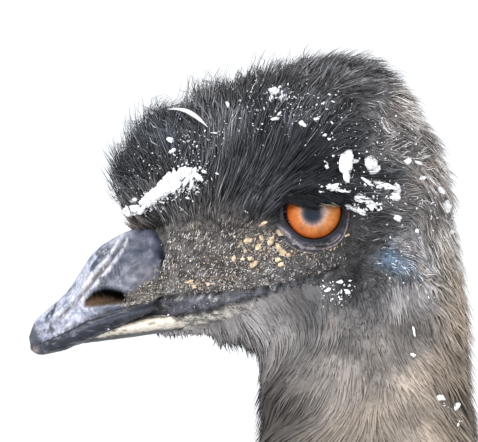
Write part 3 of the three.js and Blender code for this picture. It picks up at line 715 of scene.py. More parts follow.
def skin_tint(p):
    """Black skin round the eye, brown grey on the lore, a black lip band with pale scratches, blue behind the ear, and
    painted shade darkening the crease and the mouth line.
    """
    x, z = about_eye(p)
    guide = head_guide(p)
    coat_grey = mix(0.028, mix(0.55, 0.85, smooth(-20, -42, z)) * guide[:, 4], smooth(-260, -110, z))
    lore_skin = np.array([0.078, 0.071, 0.068]) * mix(1, 0.6, smooth(-14, 0, x))[:, None]
    lore_skin = lore_skin * (1 + 0.9 * noise(p, 0.9, 61)[:, None])
    lip, crease = at_line(x, mouth_line), at_line(x, crease_line)
    band = smooth(lip - 0.4, lip + 0.4, z) * smooth(crease + 0.4, crease - 0.4, z) * smooth(10, 4, x)
    scratch = smooth(0.25, 0.7, noise(p * [0.16, 1, 1.3], 0.8, 62))
    leather = over([0.105, 0.107, 0.130], [0.42, 0.40, 0.41], 0.8 * scratch)
    below = smooth(lip + 0.2, lip - 0.8, z) * smooth(lip - 7, lip - 4.5, z) * smooth(-18, -38, x)
    shells = over([0.56, 0.52, 0.46], [0.11, 0.10, 0.095], smooth(-0.2, 0.35, noise(p * [0.20, 1, 1], 0.9, 63)))
    colour = coat_grey[:, None] * hue_of(guide[:, 5])
    for new, share in (
        (lore_skin, smooth(26, 14, np.hypot((x + 36) / 1.25, (z + 15) / 0.85))),
        ([0.115, 0.165, 0.225], smooth(3.8, 1.5, np.hypot((x - 28.4) / 1.1, z + 18))),
        (leather * mix(0.40, 0.92, smooth(-62, -40, x))[:, None], band),
        (shells, 0.85 * below),
    ):
        colour = over(colour, new, share)
    # Painted shade: the skin is darkened in the crease over the lip and along the mouth line.
    dark = hill(off_line(x, z, crease_line), 0.7) + 0.8 * hill(off_line(x, z, mouth_line), 0.5)
    return colour * (1 - 0.9 * np.clip(dark, 0, 1))[:, None]


# %% Skin mesh
def closer_at_sides(turn):
    """Turns drawn towards the two sides, so that a grid is finest where the photograph looks."""
    return turn + 0.28 * np.sin(2 * turn)


HEAD_END = station(8.4)
skin_stations = np.concatenate([np.linspace(0, HEAD_END, 190), np.linspace(HEAD_END, 1, 71)[1:]])
skin_t, skin_turn = ring_grid(skin_stations, 210)
skin_points, skin_faces = tube(body.point(skin_t, closer_at_sides(skin_turn)))

# %% [markdown]
# ## Legs under the feathers
# Each leg is a line of rings from inside the trunk down to the pad of the foot. The bird's left leg is half a step
# ahead, so the rows shift along the body, more near the floor. Down to the hock the leg is skin under feathers.

# %% Leg outline
LEG_SPREAD, STRIDE = 92.0, 42.0
leg_rows = np.array([
    (70, 770, -105, 735, 60), (88, 690, -92, 655, 64), (100, 610, -52, 572, 55), (112, 540, 4, 505, 42),
    (122, 480, 50, 460, 31), (127, 440, 70, 430, 26), (130, 405, 72, 398, 26.5), (120, 368, 80, 361, 20),
    (109, 300, 76, 293, 15), (94, 200, 61, 194, 14), (82, 110, 49, 105, 15.5), (76, 62, 38, 55, 19.5),
    (72, 30, 21, 22, 22), (67, 1, 24, -5, 20),
])


def leg_station(row):
    return row / (len(leg_rows) - 1)


HOCK = leg_station(5)


def leg_on(side):
    """The leg's limb, shifted along the body by its half of the stride."""
    rows = np.column_stack([leg_rows, np.full(len(leg_rows), 0.5)])
    shift = side * STRIDE * (1 - smooth(40, 740, (rows[:, 1] + rows[:, 3]) / 2))
    rows[:, [0, 2]] += shift[:, None]
    return Limb(rows, y=side * LEG_SPREAD)


legs = {name: leg_on(side) for name, side in SIDES.items()}

# %% [markdown]
# ## One skin
# The thighs are closed tubes that start inside the trunk, and a Boolean union melts them into it, so that no seam is
# left between trunk and leg. The solver called Manifold is fast and keeps every shell closed.

# %% Join the thighs to the trunk
flesh = ["head", "neck_upper", "neck_middle", "neck_lower", "torso", "tail"]
replaced = flesh + [f"thigh_{name}" for name in SIDES] + [f"wing_{name}" for name in SIDES]
skin = new_piece("skin", skin_points, skin_faces, skin_finish, "head_feathers", replaced)
thigh_grid = ring_grid(np.linspace(0, HOCK + 0.02, 50), 50)
thighs = joined_parts([tube(leg.point(*thigh_grid)) for leg in legs.values()])
cutter = new_piece("thigh_skin", *thighs, skin_finish, "head_feathers")
union = skin.modifiers.new("thighs", "BOOLEAN")
union.operation, union.solver, union.object = "UNION", "MANIFOLD", cutter
with bpy.context.temp_override(object=skin, active_object=skin, selected_objects=[skin]):
    bpy.ops.object.modifier_apply(modifier="thighs")
bpy.data.objects.remove(cutter)
skin_places = np.empty(len(skin.data.vertices) * 3, np.float32)
skin.data.vertices.foreach_get("co", skin_places)
set_tint(skin.data, skin_tint((skin_places.reshape(-1, 3).astype(float) - origin) / MM))
skin.data.polygons.foreach_set("use_smooth", np.ones(len(skin.data.polygons), bool))
print("skin after the union:", len(skin.data.polygons), "faces")

# %% [markdown]
# ## Eyes
# The eye of an emu is a wet ball with an orange iris, deep orange at its rim and paler inside, round a dark pupil. The
# ball is one closed surface about the line of sight, and its rings carry the colours. A clear coat gives the wet gloss.


# %% Eyeball
CORNEA_BULGE = 0.5
PUPIL_AT = (-0.6, -0.7)
PAST_IRIS = 14.0


def eye_tint(r, around, seed):
    """Colour by distance from the middle of the pupil in mm: pupil, its soft rim, fibres of the iris, dark limbus. The
    iris is darkened towards its top as painted shade of the lid and brow, and the pupil carries a painted slate blue
    reflection low down.
    """
    ahead, height = r * np.cos(around), r * np.sin(around)
    fibre = noise(np.stack([np.cos(around) * 9, np.sin(around) * 9, r * 0.35 + seed], -1), 0.5, 7)
    cloud = noise(np.stack([np.cos(around) * r, np.sin(around) * r, 0 * r + seed], -1), 2.2, 8)
    iris = over([0.46, 0.265, 0.185], [0.52, 0.180, 0.040], smooth(4.6, 7.0, r + 0.5 * cloud))
    iris = over(iris, [0.42, 0.095, 0.010], smooth(6.8, 9.6, r))
    iris = iris * (1 + 0.22 * fibre + 0.20 * cloud)[:, None]
    iris = iris * over([0.95, 0.80, 0.6], [1, 1.06, 1.15], smooth(-8, 8, ahead))
    # Painted shade: the iris darkens towards its top, where lid and brow hang over it.
    iris = iris * mix(1, 0.62, smooth(0, 4, height))[:, None]
    # Painted reflection of the sky: the pupil is slate blue towards its bottom and near black above.
    pupil = over([0.003, 0.004, 0.007], [0.007, 0.014, 0.025], smooth(1.6, -1.6, height))
    pupil = over(pupil, [0.085, 0.072, 0.088], smooth(2.2, 4.2, r))
    colour = over(pupil, iris, smooth(3.3, 5.4, r + 0.25 * fibre))
    return over(colour, [0.008, 0.006, 0.006], smooth(9.4, 10.4, r))


# %% The ball's rings
def eyeball(side):
    """Rings round the line of sight, closer together over the iris. The cornea bulges in front."""
    polar = np.concatenate([np.linspace(0.015, 0.8, 64), np.linspace(0.8, np.pi - 0.05, 10)[1:]])
    a, b = ring_grid(polar, 100)
    radius = BALL_RADIUS + CORNEA_BULGE * smooth(0.75, 0.3, a)
    grid = np.stack([
        EYE[0] + radius * np.sin(a) * np.cos(b),
        side * (BALL_CENTRE + radius * np.cos(a)),
        EYE[2] + radius * np.sin(a) * np.sin(b),
    ], -1)
    points, faces = tube(grid)
    away = points - [EYE[0], side * BALL_CENTRE, EYE[2]]
    rim = np.hypot(away[:, 0], away[:, 2])
    pupil = np.hypot(away[:, 0] - PUPIL_AT[0], away[:, 2] - PUPIL_AT[1])
    r = np.where(away[:, 1] * side > 0, mix(pupil, rim, smooth(4, 8, rim)), PAST_IRIS)
    return points, faces, eye_tint(r, np.arctan2(away[:, 2], away[:, 0]), 3 + side)


eye_finish = finish("wet eye", 0.25, size=900, strength=0.35, bump=0, Coat_Weight=0.4, Coat_Roughness=0.03,
                    Specular_IOR_Level=0.2)
for name, side in SIDES.items():
    points, faces, colours = eyeball(side)
    new_piece(f"eyeball_{name}", points, faces, eye_finish, "eyes", [f"eye_{name}"], tint=colours)

# %% [markdown]
# ## Lids
# Bare, wrinkled lids hold the eye: a nearly straight upper lid under the brow, and a round lower lid with fine folds.
# Each pair is one closed ring. Its cross-section is a loop that runs over the rim, out over the folds, and back behind.


# %% Lid ring
LID_OPEN = 10.5
LID_LOOP = np.array([
    (0.05, -3.2), (0.0, -1.2), (0.01, -0.35), (0.07, 0.0), (0.16, 0.1), (0.3, 0.05), (0.45, 0), (0.6, 0.0),
    (0.75, 0.0), (0.88, -0.2), (1.0, -1.2), (1.04, -3.4), (0.7, -4.5), (0.35, -4.2), (0.05, -3.2),
])


def lid_ring(side):
    """Angle runs round the opening. The rim is a circle cut off above by a low arch, and the folds are ripples. Share
    and drop of the loop say how far a point is from the rim to the outer edge and how deep under the lid's face, which
    follows the ball and then leans back as a flat cone."""
    around = np.linspace(0, 2 * np.pi, 170, endpoint=False)
    ahead, up = np.cos(around), np.sin(around)
    flat_top = (2.5 - 0.3 * ahead) / np.maximum(up, 0.05)
    rim = np.where(up > 0.05, -1.1 * np.log(np.exp(-LID_OPEN / 1.1) + np.exp(-flat_top / 1.1)), LID_OPEN)
    rim = rim + 0.9 * hill(np.abs(np.arctan2(up, -ahead)) - 0.05, 0.35)
    outer = 17.2 - 2.4 * smooth(0, 0.8, up) + 1.2 * np.abs(ahead) ** 3
    v = np.linspace(0, 1, 59)[None, :-1]
    share, drop = np.moveaxis(through(LID_LOOP, v), -1, 0)
    r = rim[:, None] + (outer - rim)[:, None] * share
    depth = np.where(r < 10.4, 16.2 - 3.8 * (r / 10.4) ** 2, 12.4 - 0.52 * (r - 10.4)) + drop
    a = around[:, None]
    place = np.stack([np.cos(a) * 6 + 0 * r, np.sin(a) * 6 + 0 * r, r], -1)
    fold = 0.36 * np.sin(2 * np.pi * (r / 1.7 + 1.7 * noise(place, 4.0, 9))) * smooth(12.2, 13.4, r)
    depth = depth + np.where((v > 0.16) & (v < 0.72), fold + 0.25 * noise(place, 0.8, 10), 0)
    grid = np.stack([EYE[0] + r * np.cos(a), side * (BALL_CENTRE + depth), EYE[2] + r * np.sin(a)], -1)
    return grid, r, np.broadcast_to(up[:, None], r.shape), fold


# %% Colours of the lids
def lid_tint(grid, r, up, fold):
    """A black rim and upper lid, and a grey violet lower lid with pale chalk and reddish brown. Pale grey on the crests
    of the folds is a painted highlight, and the lids darken towards the top as painted shade under the brow.
    """
    wear_and_sheen = noise(grid, 1.1, 11)
    x, z = about_eye(grid)
    chalky = smooth(0.10, 0.5, noise(grid, 1.5, 13) + 0.3 * fold) * smooth(-10.6, -12.0, z) * smooth(9, 1, x)
    behind = smooth(1, 8, x) * smooth(-0.1, 0.4, noise(grid * [0.5, 1, 1.2], 2.0, 12)) * smooth(12.6, 13.6, r)
    # Painted highlight: the crests of the folds, broken by noise, turn pale grey.
    colour = over([0.050, 0.045, 0.056], [0.24, 0.215, 0.235], np.clip(0.5 + 1.5 * fold + 0.6 * wear_and_sheen, 0, 1) ** 2)
    colour = over(colour, [0.40, 0.38, 0.35], 0.8 * chalky)
    colour = over(colour, [0.17, 0.085, 0.060], 0.75 * behind)
    colour = over(colour, [0.055, 0.050, 0.072], smooth(13.0, 12.3, r + 0.3 * wear_and_sheen))
    colour = over(colour, [0.012, 0.012, 0.018], smooth(12.1, 11.4, r))
    # Painted shade under the brow: the lids darken towards the top.
    colour = colour * mix(1, 0.4, smooth(-10, -3, z + 3 * noise(grid, 4.0, 14)))[..., None]
    return over(colour, [0.010, 0.010, 0.012], smooth(0.1, 0.4, up))


for name, side in SIDES.items():
    ring = lid_ring(side)
    points, faces = closed_both_ways(ring[0])
    new_piece(f"lids_{name}", points, faces, skin_finish, "head_feathers", tint=lid_tint(*ring).reshape(-1, 3))

# %% [markdown]
# ## Bill
# The bill's sheath is smooth horn. A ridge runs along its top, a groove parts the ridge from the side, and the nostril
# is a deep, long opening half way back. Its rings are like the body's, and its relief is given in the side view.

# %% Bill outlines
upper_rows = from_eye([
    (-107.6, -47.5, -106.8, -52.5, 1.8, 0.30), (-105.2, -41.5, -104, -54, 4.6, 0.20),
    (-100.8, -37.3, -99, -53.3, 7.2, 0.15), (-93.2, -30.4, -91, -50.7, 9.8, 0.15),
    (-87.4, -21.7, -83, -47.5, 12, 0.15), (-82.8, -15.3, -76.5, -44.6, 14, 0.18),
    (-75.8, -10.2, -68, -41.8, 15.8, 0.22), (-66, -5.9, -60, -40, 17, 0.28), (-55, -3.6, -53, -38.5, 16.4, 0.3),
])
lower_rows = from_eye([
    (-93, -48.6, -92, -50.4, 2.4, 0.5), (-85, -46.2, -84, -49.6, 6.6, 0.5), (-76, -42.4, -75, -48.5, 9.8, 0.5),
    (-66, -39.6, -66, -47.2, 12.4, 0.5), (-56, -37.8, -56, -45.9, 13.4, 0.5), (-45, -36.4, -46, -44.6, 7.5, 0.5),
])
groove_line = [(-71.8, -10.5), (-73.5, -14.0), (-76.1, -17.8), (-78.9, -21.2), (-82.0, -24.6), (-84.4, -28.0),
               (-86.6, -30.7), (-90.9, -35.3), (-93.6, -38.1), (-97.5, -41.9)]
nasal_arc = [(-73.5, -23.5), (-74.2, -19.1), (-72.3, -16.1), (-69.3, -14.6), (-64.5, -14.4)]
nasal_fold = [(-72.3, -23.2), (-68.2, -21.4), (-63.6, -18.4), (-60.5, -16.0)]
band_line = [(-106, -51.0), (-95.8, -46.6), (-85.2, -41.2), (-68.6, -36.6), (-61.7, -35.0), (-50, -32.2)]


# %% Nostril and relief
NOSTRIL_FRONT, NOSTRIL_LENGTH = -86.2, 18.8


def nostril_depth(x, z):
    """How far inside the nostril a place is, in mm: between a nearly level floor and an arch that peaks in front."""
    s = np.clip((x - NOSTRIL_FRONT) / NOSTRIL_LENGTH, 0.002, 0.998)
    floor = -36.0 + 2.0 * s
    rise = 13.6 * s**0.46 * (1 - s) ** 0.76
    slope = rise * (0.46 / s - 0.76 / (1 - s)) / NOSTRIL_LENGTH
    beyond = np.abs(x - NOSTRIL_FRONT - NOSTRIL_LENGTH * s)
    return np.minimum(z - floor, (floor + rise - z) / np.hypot(1, slope)) - beyond, (z - floor) / np.maximum(rise, 0.1)


def bill_relief(p):
    """Lift in mm: a groove beside the ridge, the nostril's pit, the swelling behind it, the edge band and scuffs."""
    x, z = about_eye(p)
    inside, _ = nostril_depth(x, z)
    edge, groove = at_line(x, band_line), off_line(x, z, groove_line)
    lift = (
        -0.8 * hill(groove, 0.7) * smooth(-1, 0.2, noise(p, 3.0, 25)) + 0.5 * hill(groove - 1.7, 0.8)
        - mix(2.4, 5.2, smooth(-86, -78, x)) * smooth(-0.3, 2.2, inside) + 0.4 * hill(inside + 1.1, 0.8)
        - 0.5 * hill(z - edge - 0.6, 0.6) + 0.5 * smooth(edge + 0.4, edge - 1.2, z)
        + 1.1 * hill(np.hypot((x + 66) / 1.5, (z + 20) / 1.1), 6.5)
        - 0.45 * hill(off_line(x, z, nasal_arc), 0.9) + 0.40 * hill(off_line(x, z, nasal_fold), 0.9)
        - 3.4 * smooth(-60.5, -54.5, x + 1.5 * noise(p, 3.5, 23))
        - 2.0 * smooth(-72, -57, x) * smooth(edge + 1, edge - 1, z)
        + 0.40 * noise(p, 5.0, 21) + 0.18 * noise(p, 1.6, 22) + 0.07 * noise(p, 0.7, 24)
    )
    return lift * smooth(0.5, 4, np.abs(p[..., 1]))


# %% Colours of the horn
def bill_tint(p):
    """Blue grey horn: pale lavender ridge and front, blue patches, brown groove, blue black edge band, and a nostril
    painted dark as painted shade inside its opening.
    """
    x, z = about_eye(p)
    big, middle, small = noise(p, 5.0, 31), noise(p, 2.0, 32), noise(p, 0.8, 34)
    groove, edge = off_line(x, z, groove_line), at_line(x, band_line)
    inside, share = nostril_depth(x, z)
    on_ridge = np.interp(-x, *(np.transpose(groove_line) * [[-1], [1]]))
    on_ridge = smooth(on_ridge - 0.5, on_ridge + 2.0, z) * smooth(-66, -72, x)
    front = smooth(-80, -88, x)
    pale = np.maximum(on_ridge, front) * smooth(0.25, -0.30, big * 0.7 + 0.8 * middle - 0.35 * front)
    patchy = np.maximum(on_ridge, front) * smooth(0.25, 0.6, 0.8 * noise(p * [1, 1, 0.8], 2.8, 39) + 0.3 * small)
    swelling = hill(np.hypot((x + 63) / 1.3, z + 25), 5.0) * smooth(-0.6, 0.2, middle)
    fold = hill(off_line(x, z, nasal_fold), 0.7) * smooth(-0.6, 0.3, middle)
    beside = hill(groove - 1.5, 0.6) * smooth(-92, -84, x) * smooth(-0.8, 0.1, small + middle)
    brown = hill(groove, 0.55) * smooth(-76, -79, x) * smooth(-0.9, 0.0, middle + small)
    scuffed = smooth(0.5, 0.85, small + 0.5 * middle) * smooth(-66, -80, x)
    rear = smooth(2.6, 0.8, off_line(x, z, [(-58.0, -9), (-57.2, -17)]) + 1.2 * middle)
    streak = smooth(0.2, 0.7, noise(p * [0.14, 1, 1.2], 0.9, 33)) * smooth(edge, edge - 1.0, z)
    # Painted shade inside the nostril: brown low in front, black towards its top and back.
    hole = over([0.105, 0.066, 0.044], [0.003, 0.003, 0.003],
                smooth(0.10, 0.75, share + 0.045 * (x + 79) + 0.15 * small))
    to_lore = smooth(0, 3.0, past_horn(x, z) + 2.2 * middle) * smooth(edge + 0.2, edge + 1.6, z)
    dusky = over([0.020, 0.025, 0.040], [0.10, 0.105, 0.13], smooth(-0.1, 0.8, middle + 0.5 * small))
    colour = over([0.098, 0.106, 0.142], [0.042, 0.050, 0.076], smooth(-0.35, 0.55, big + 0.4 * middle))
    for new, share in (
        ([0.19, 0.20, 0.25], 0.6 * smooth(0.15, 0.7, noise(p, 3.2, 37) + 0.4 * small)),
        ([0.105, 0.090, 0.098], 0.7 * swelling),
        ([0.038, 0.050, 0.080], 0.8 * hill(off_line(x, z, nasal_arc), 0.7)),
        ([0.24, 0.24, 0.29], 0.7 * fold),
        (over([0.32, 0.34, 0.43], [0.50, 0.51, 0.58], smooth(-0.3, 0.7, small)), pale),
        ([0.075, 0.095, 0.150], 0.75 * patchy),
        ([0.60, 0.59, 0.63], 0.9 * beside),
        ([0.085, 0.055, 0.032], 0.9 * brown),
        ([0.60, 0.60, 0.64], 0.4 * scuffed),
        ([0.026, 0.034, 0.058], 0.6 * rear),
        ([0.030, 0.031, 0.040], 0.7 * smooth(edge + 2.6, edge + 0.6, z + 0.6 * middle) * smooth(-90, -80, x)),
        ([0.016, 0.019, 0.030], smooth(edge + 0.9, edge - 0.3, z + 0.4 * small)),
        ([0.12, 0.125, 0.155], 0.75 * streak),
        ([0.10, 0.11, 0.145], 0.6 * hill(z - edge + 2.0, 0.7) * smooth(-98, -90, x)),
        (hole, smooth(-0.9, 0.5, inside + 0.35 * small)),
        (np.array([0.075, 0.064, 0.052]) * (1 + 0.8 * small)[:, None], to_lore),
        (dusky, 0.9 * smooth(-99, -104, x + 0.5 * (z + 50))),
        ([0.26, 0.22, 0.20], 0.8 * hill(np.hypot(x + 105.0, z + 52.6), 1.5)),
    ):
        colour = over(colour, new, share)
    return colour


def lower_bill_tint(p):
    """Scuffed cream horn with a dark line along its lower edge."""
    x, z = about_eye(p)
    low = np.interp(x, [-92, -84, -75, -56, -48], [-50.4, -49.6, -48.5, -45.9, -45.0])
    wear_and_sheen = smooth(-0.1, 0.5, noise(p * [0.25, 1, 1], 1.4, 35) + 0.5 * noise(p * [0.5, 1, 1], 0.7, 38))
    colour = over([0.68, 0.62, 0.53], [0.20, 0.18, 0.155], wear_and_sheen)
    return over(colour, [0.015, 0.015, 0.017], smooth(low + 2.0, low + 1.1, z + 0.3 * noise(p, 1.5, 48)))


# %% Bill
upper_bill = Limb(upper_rows, relief=bill_relief, boxy=0.5)
lower_bill = Limb(lower_rows, relief=lambda p: 0.12 * noise(p, 2.0, 36))
t, turn = ring_grid(np.linspace(0.002, 1, 210), 196)
points, faces = tube(upper_bill.point(t, closer_at_sides(turn)))
sheath = new_piece("bill_upper", points, faces, horn_finish, "bill", ["upper_bill"], tint=bill_tint(points))
sheath.data.materials.append(finish("nostril", 1.0, size=220, strength=1.0, bump=0, Specular_IOR_Level=0.0))
middles = np.concatenate([points[group].mean(1) for group in faces])
in_nostril = nostril_depth(*about_eye(middles))[0] > 0.3
sheath.data.polygons.foreach_set("material_index", in_nostril.astype(np.int32))
points, faces = tube(lower_bill.point(*ring_grid(np.linspace(0.002, 1, 80), 70)))
new_piece("bill_lower", points, faces, horn_finish, "bill", ["lower_bill"], tint=lower_bill_tint(points))

# %% [markdown]
# ## Shanks, toes and claws
# Below the hock the leg is bare: broad overlapping plates run down its front and over each toe, and the rest is small
# scales. The plates are a saw-tooth lift along the leg; the small scales are a bump.


# %% Shanks
PLATE, TOP_PLATE = 13.0, 470.0


def shank(leg):
    """Rings from the hock to the pad. Each plate lifts up to 1.6 mm at its lower edge, on the front only."""
    t, turn = ring_grid(np.linspace(HOCK - 0.01, 1, 300), 54)
    bare = leg.bare(t, turn)
    tooth = ((TOP_PLATE - bare[..., 2]) / PLATE + 0.12 * np.cos(turn * 2)) % 1
    front = smooth(0.05, 0.7, -np.cos(turn))
    lift = front * (1.5 * tooth * smooth(1.0, 0.93, tooth) - 0.2) + 0.3 * noise(bare, 3.5, 41)
    lift = lift + (1 - front) * 0.45 * noise(bare, 2.2, 42)
    grid = bare + leg.normal(t, turn) * lift[..., None]
    grid[..., 2] = np.maximum(grid[..., 2], 0.0)
    return tube(grid)


def scale_tint(p):
    """Grey brown plates, mottled lighter and darker, with darker grooves."""
    colour = over([0.060, 0.050, 0.040], [0.115, 0.098, 0.078], 0.5 + 0.5 * noise(p, 9.0, 43))
    tooth = ((TOP_PLATE - p[:, 2]) / PLATE) % 1
    return colour * (1 - 0.4 * hill(tooth - 0.98, 0.06) * (p[:, 2] > 40))[:, None]


for name, leg in legs.items():
    points, faces = shank(leg)
    new_piece(f"shank_{name}", points, faces, scale_finish, "leg_scales", [f"tarsus_{name}"], tint=scale_tint(points))

# %% Toes and claws
TOES = {"middle": (0, 132, 14.5), "inner": (29, 86, 13), "outer": (-30, 92, 13)}
TOE_TAPER = 0.66
TOE_PLATE, TOE_JOINT = 6.0, 34
CLAW, CLAW_ROOT = 27.0, 3
FLOOR_SINK = 1.5


# %% Rods and their plates
def toe_frame(leg, side, heading):
    """The middle of the foot's pad, the toe's way ahead and its way across."""
    t = np.full(1, leg_station(12.2))
    back, front = leg.bare(t, np.zeros(1))[0], leg.bare(t, np.full(1, np.pi))[0]
    base = back + (front - back) * 0.6
    angle = np.radians(180 + side * heading)
    ahead = np.array([np.cos(angle), np.sin(angle), 0])
    return base, ahead, np.array([-ahead[1], ahead[0], 0])


def rod(base, ahead, across, reach, height, wide, tall, around=32, plate=None):
    """Ovals along a line: reach ahead of the base, height over the floor, and half sizes across and upright."""
    turn = np.linspace(0, 2 * np.pi, around, endpoint=False)[None]
    lift = plate(reach[:, None], turn) if plate else 0
    out_wide, out_tall = (wide[:, None] + lift) * np.cos(turn), (tall[:, None] + lift) * np.sin(turn)
    grid = base + ahead * reach[:, None, None] + across * out_wide[..., None]
    grid[..., 2] = np.maximum(height[:, None] + out_tall, 0.0)
    return tube(grid)


def toe_plates(reach, turn):
    """Small plates over the top of a toe and a deeper fold at each joint."""
    tooth = (reach / TOE_PLATE) % 1
    top = smooth(0.2, 0.8, np.sin(turn))
    fold = hill((reach + TOE_PLATE) % TOE_JOINT - TOE_JOINT / 2, 2.0)
    return top * 0.9 * tooth * smooth(1, 0.9, tooth) - 0.6 * top * fold


for name, side in SIDES.items():
    for toe, (heading, length, thick) in TOES.items():
        place = toe_frame(legs[name], side, heading)
        share = np.linspace(0, 1, 115)
        thinner = mix(thick, thick * TOE_TAPER, share)
        size = thinner * (1 + 0.07 * np.cos(2 * np.pi * (3 * share + 0.1))) * (1 - 0.3 * smooth(0.93, 1, share))
        points, faces = rod(*place, share * length, thinner - FLOOR_SINK, size, size, plate=toe_plates)
        new_piece(f"toe_skin_{toe}_{name}", points, faces, scale_finish, "leg_scales", [f"toe_{toe}_{name}"],
                  tint=scale_tint(points))
        share = np.linspace(0, 1, 36)
        reach = length - CLAW_ROOT + share * (CLAW + CLAW_ROOT)
        height = through(np.array([7.6, 7.4, 6.2, 3.2])[:, None], share)[:, 0]
        wide, tall = mix(6.6, 1.2, share**1.4), mix(6.6, 1.1, share**1.2)
        points, faces = rod(*place, reach, height, wide, tall, around=24)
        new_piece(f"nail_{toe}_{name}", points, faces, claw_finish, "claws", [f"claw_{toe}_{name}"],
                  tint=np.array([0.02, 0.018, 0.017]) * (1.5 + noise(points, 2, 44)[:, None]))

# %% [markdown]
# ## The coat of the head
# Fine, hair-like feathers stand up from the forehead, sweep back over the crown and fall down the nape. The bill, the
# eye and the lip stay bare, and the lore before the eye has only short bristles.


# %% Where tufts grow on the head
def bare_face(p):
    """1 where no tufts grow: before the root of the bill, round the eye, on the lip and below the mouth."""
    (x, z), side = about_eye(p), np.abs(p[..., 1])
    lip, crease = at_line(x, mouth_line), at_line(x, crease_line)
    bill_root = (z < at_line(x, horn_top) - 1.8) & (past_horn(x, z) < 0.4) & (z > -44)
    eye = (np.hypot(x / 1.05, (z + 1.0) / np.where(z > -1, 0.46, 1.12)) < 14.2) & (side > 12)
    band = (z > lip - 0.6) & (z < crease + 0.5) & (x < 6) & (side > mix(5, 12, smooth(-45, -25, x)))
    under = (z > np.interp(x, [-60, -40, -22], [-47.5, -43.5, -36])) & (z < lip) & (x < -22) & (side > 5)
    return bill_root | eye | band | under


def lore(p):
    """1 on the bristly skin between bill, eye and lip."""
    x, z = about_eye(p)
    top = np.interp(x, [-60, -50, -38, -26, -14, 12], [-9, -6, -5, -4, -10, -15])
    return (z < top) & (z > at_line(x, crease_line)) & (x < 12) & (np.abs(p[..., 1]) > 9)


# %% A coat of tufts
MOST_FACES = 190000


def tuft_tint(base, warmth, count, points_each, shares, spread=0.45, pale=0.06, paler=1.8, even=0.0):
    """Grey of a given lightness, bluish to brown by warmth, uneven from tuft to tuft, with a few pale ones. A tuft is
    darker at its root, as painted shade deep in the coat, and lighter at its tip, as a painted highlight, less so the
    more even it is."""
    tone = base * np.exp(rng.normal(0, spread, count)) * np.where(rng.uniform(size=count) < pale, paler, 1)
    colour = np.repeat(tone[:, None] * hue_of(warmth), points_each, axis=0)
    even = np.repeat(np.broadcast_to(even, count), points_each)
    # Painted shade towards the root and painted highlight towards the tip of each tuft.
    return np.clip(colour * mix(mix(0.55, 0.95, even), mix(1.3, 1.05, even), shares)[:, None], 0.002, 0.85)


def coat_piece(name, roots, spine, outs, width, thick, base, warmth, span, slot="plumage", rounded=True, **tints):
    """Needles on grown spines, split into pieces of under 200,000 triangles. Where they aren't rounded, flat faces keep
    broad tufts from shading like wires. Width, thickness, lightness and warmth are one number or one for each tuft."""
    t, turn = roots
    count = len(t)
    points, faces, shares = needles(spine, outs, *(np.broadcast_to(size, count) for size in (width, thick)))
    each, per_tuft = len(points) // count, len(faces) // count
    colours = tuft_tint(base, warmth, count, each, shares=shares, **tints)
    uv = bake_patches((t - span[0]) / (span[1] - span[0]), turn, each)
    for k, chosen in enumerate(np.array_split(np.arange(count), int(np.ceil(len(faces) / MOST_FACES)))):
        first, last = chosen[0], chosen[-1] + 1
        own = slice(first * each, last * each)
        piece_faces = faces[first * per_tuft:last * per_tuft] - first * each
        new_piece(f"{name}_{k + 1}", points[own], turned_out(points[own], [piece_faces]), feather_finish, slot,
                  tint=colours[own], bake_uv=uv[own],
                  smooth_faces=np.repeat(np.broadcast_to(rounded, count)[first:last], per_tuft))
    return points


def feathers(name, limb, roots, length, way, stand, steps, width, thick, base, warmth, span, hang=0.0, root=-0.6,
             **looks):
    """A coat piece whose spines are grown here by the lie that way gives."""
    spine, outs = grow(limb, *roots, length, way, stand, steps, hang, root)
    coat_piece(name, roots, spine, outs, width, thick, base, warmth, span, **looks)


# %% The lie and the share of tufts on the head
SHARE = 1.0
HEAD_SPAN = (0.0, station(10.8))


def ruffled(x, z):
    """1 on the crest and the crown, whose clumps point every way."""
    return np.maximum(smooth(15, 27, z + 0.15 * x), smooth(-40, -52, x) * smooth(3, 10, z))


def head_way(p, turn):
    """The lie of the guides, with swirls of two sizes so that neighbours gather in wisps."""
    guide = head_guide(p)
    x, z = about_eye(p)
    loose = mix(0.27, 1.4, smooth(0.25, 0.8, guide[..., 2])) * smooth(-90, -20, z)
    loose = loose * (1 + 0.9 * smooth(0, 18, x) * smooth(12, 30, z))
    swirl = (0.42 * noise(p, 7.0, 51) + 0.38 * noise(p, 2.6, 52)) * loose + 0.9 * noise(p, 1.8, 50) * ruffled(x, z)
    x, z = guide[..., 0], guide[..., 1]
    return unit(np.stack([x - swirl * z, 0.25 * noise(p, 4.0, 57), z + swirl * x], -1))


def head_keep(p, t):
    """The share of tufts that grow at a place: none on the bare face and the lore, fewer down the neck and the chin."""
    x, z = about_eye(p)
    low = smooth(station(10.6), station(9.4), t)
    chin = smooth(-36, -50, x) * (z < -36)
    return (~bare_face(p) & ~lore(p)) * mix(0.45, 1, low) * (1 - 0.6 * chin)


def crest_keep(p, t):
    """1 on the forehead and the front of the crown, where long wisps break the outline."""
    x, z = about_eye(p)
    crest = smooth(0, 8, z) * smooth(10, -20, x) * smooth(26, 8, np.abs(p[..., 1])) * mix(0.35, 1, smooth(-40, -60, x))
    return head_keep(p, t) * crest


def banded(p, lightness):
    """Uneven lightness of the coat: soft darker bands across the neck and cheeks, and mottles everywhere."""
    x, z = about_eye(p)
    low = smooth(-20, -45, z)
    bands = 0.6 * noise(p * [0.55, 0.55, 1.0], 8.0, 58) * low
    mottles = (0.55 * noise(p, 6.5, 59) + 0.5 * noise(p, 2.0, 68)) * (1 - 0.75 * low)
    return lightness * np.exp(bands + mottles + 0.5 * noise(p, 1.3, 49) * ruffled(x, z))


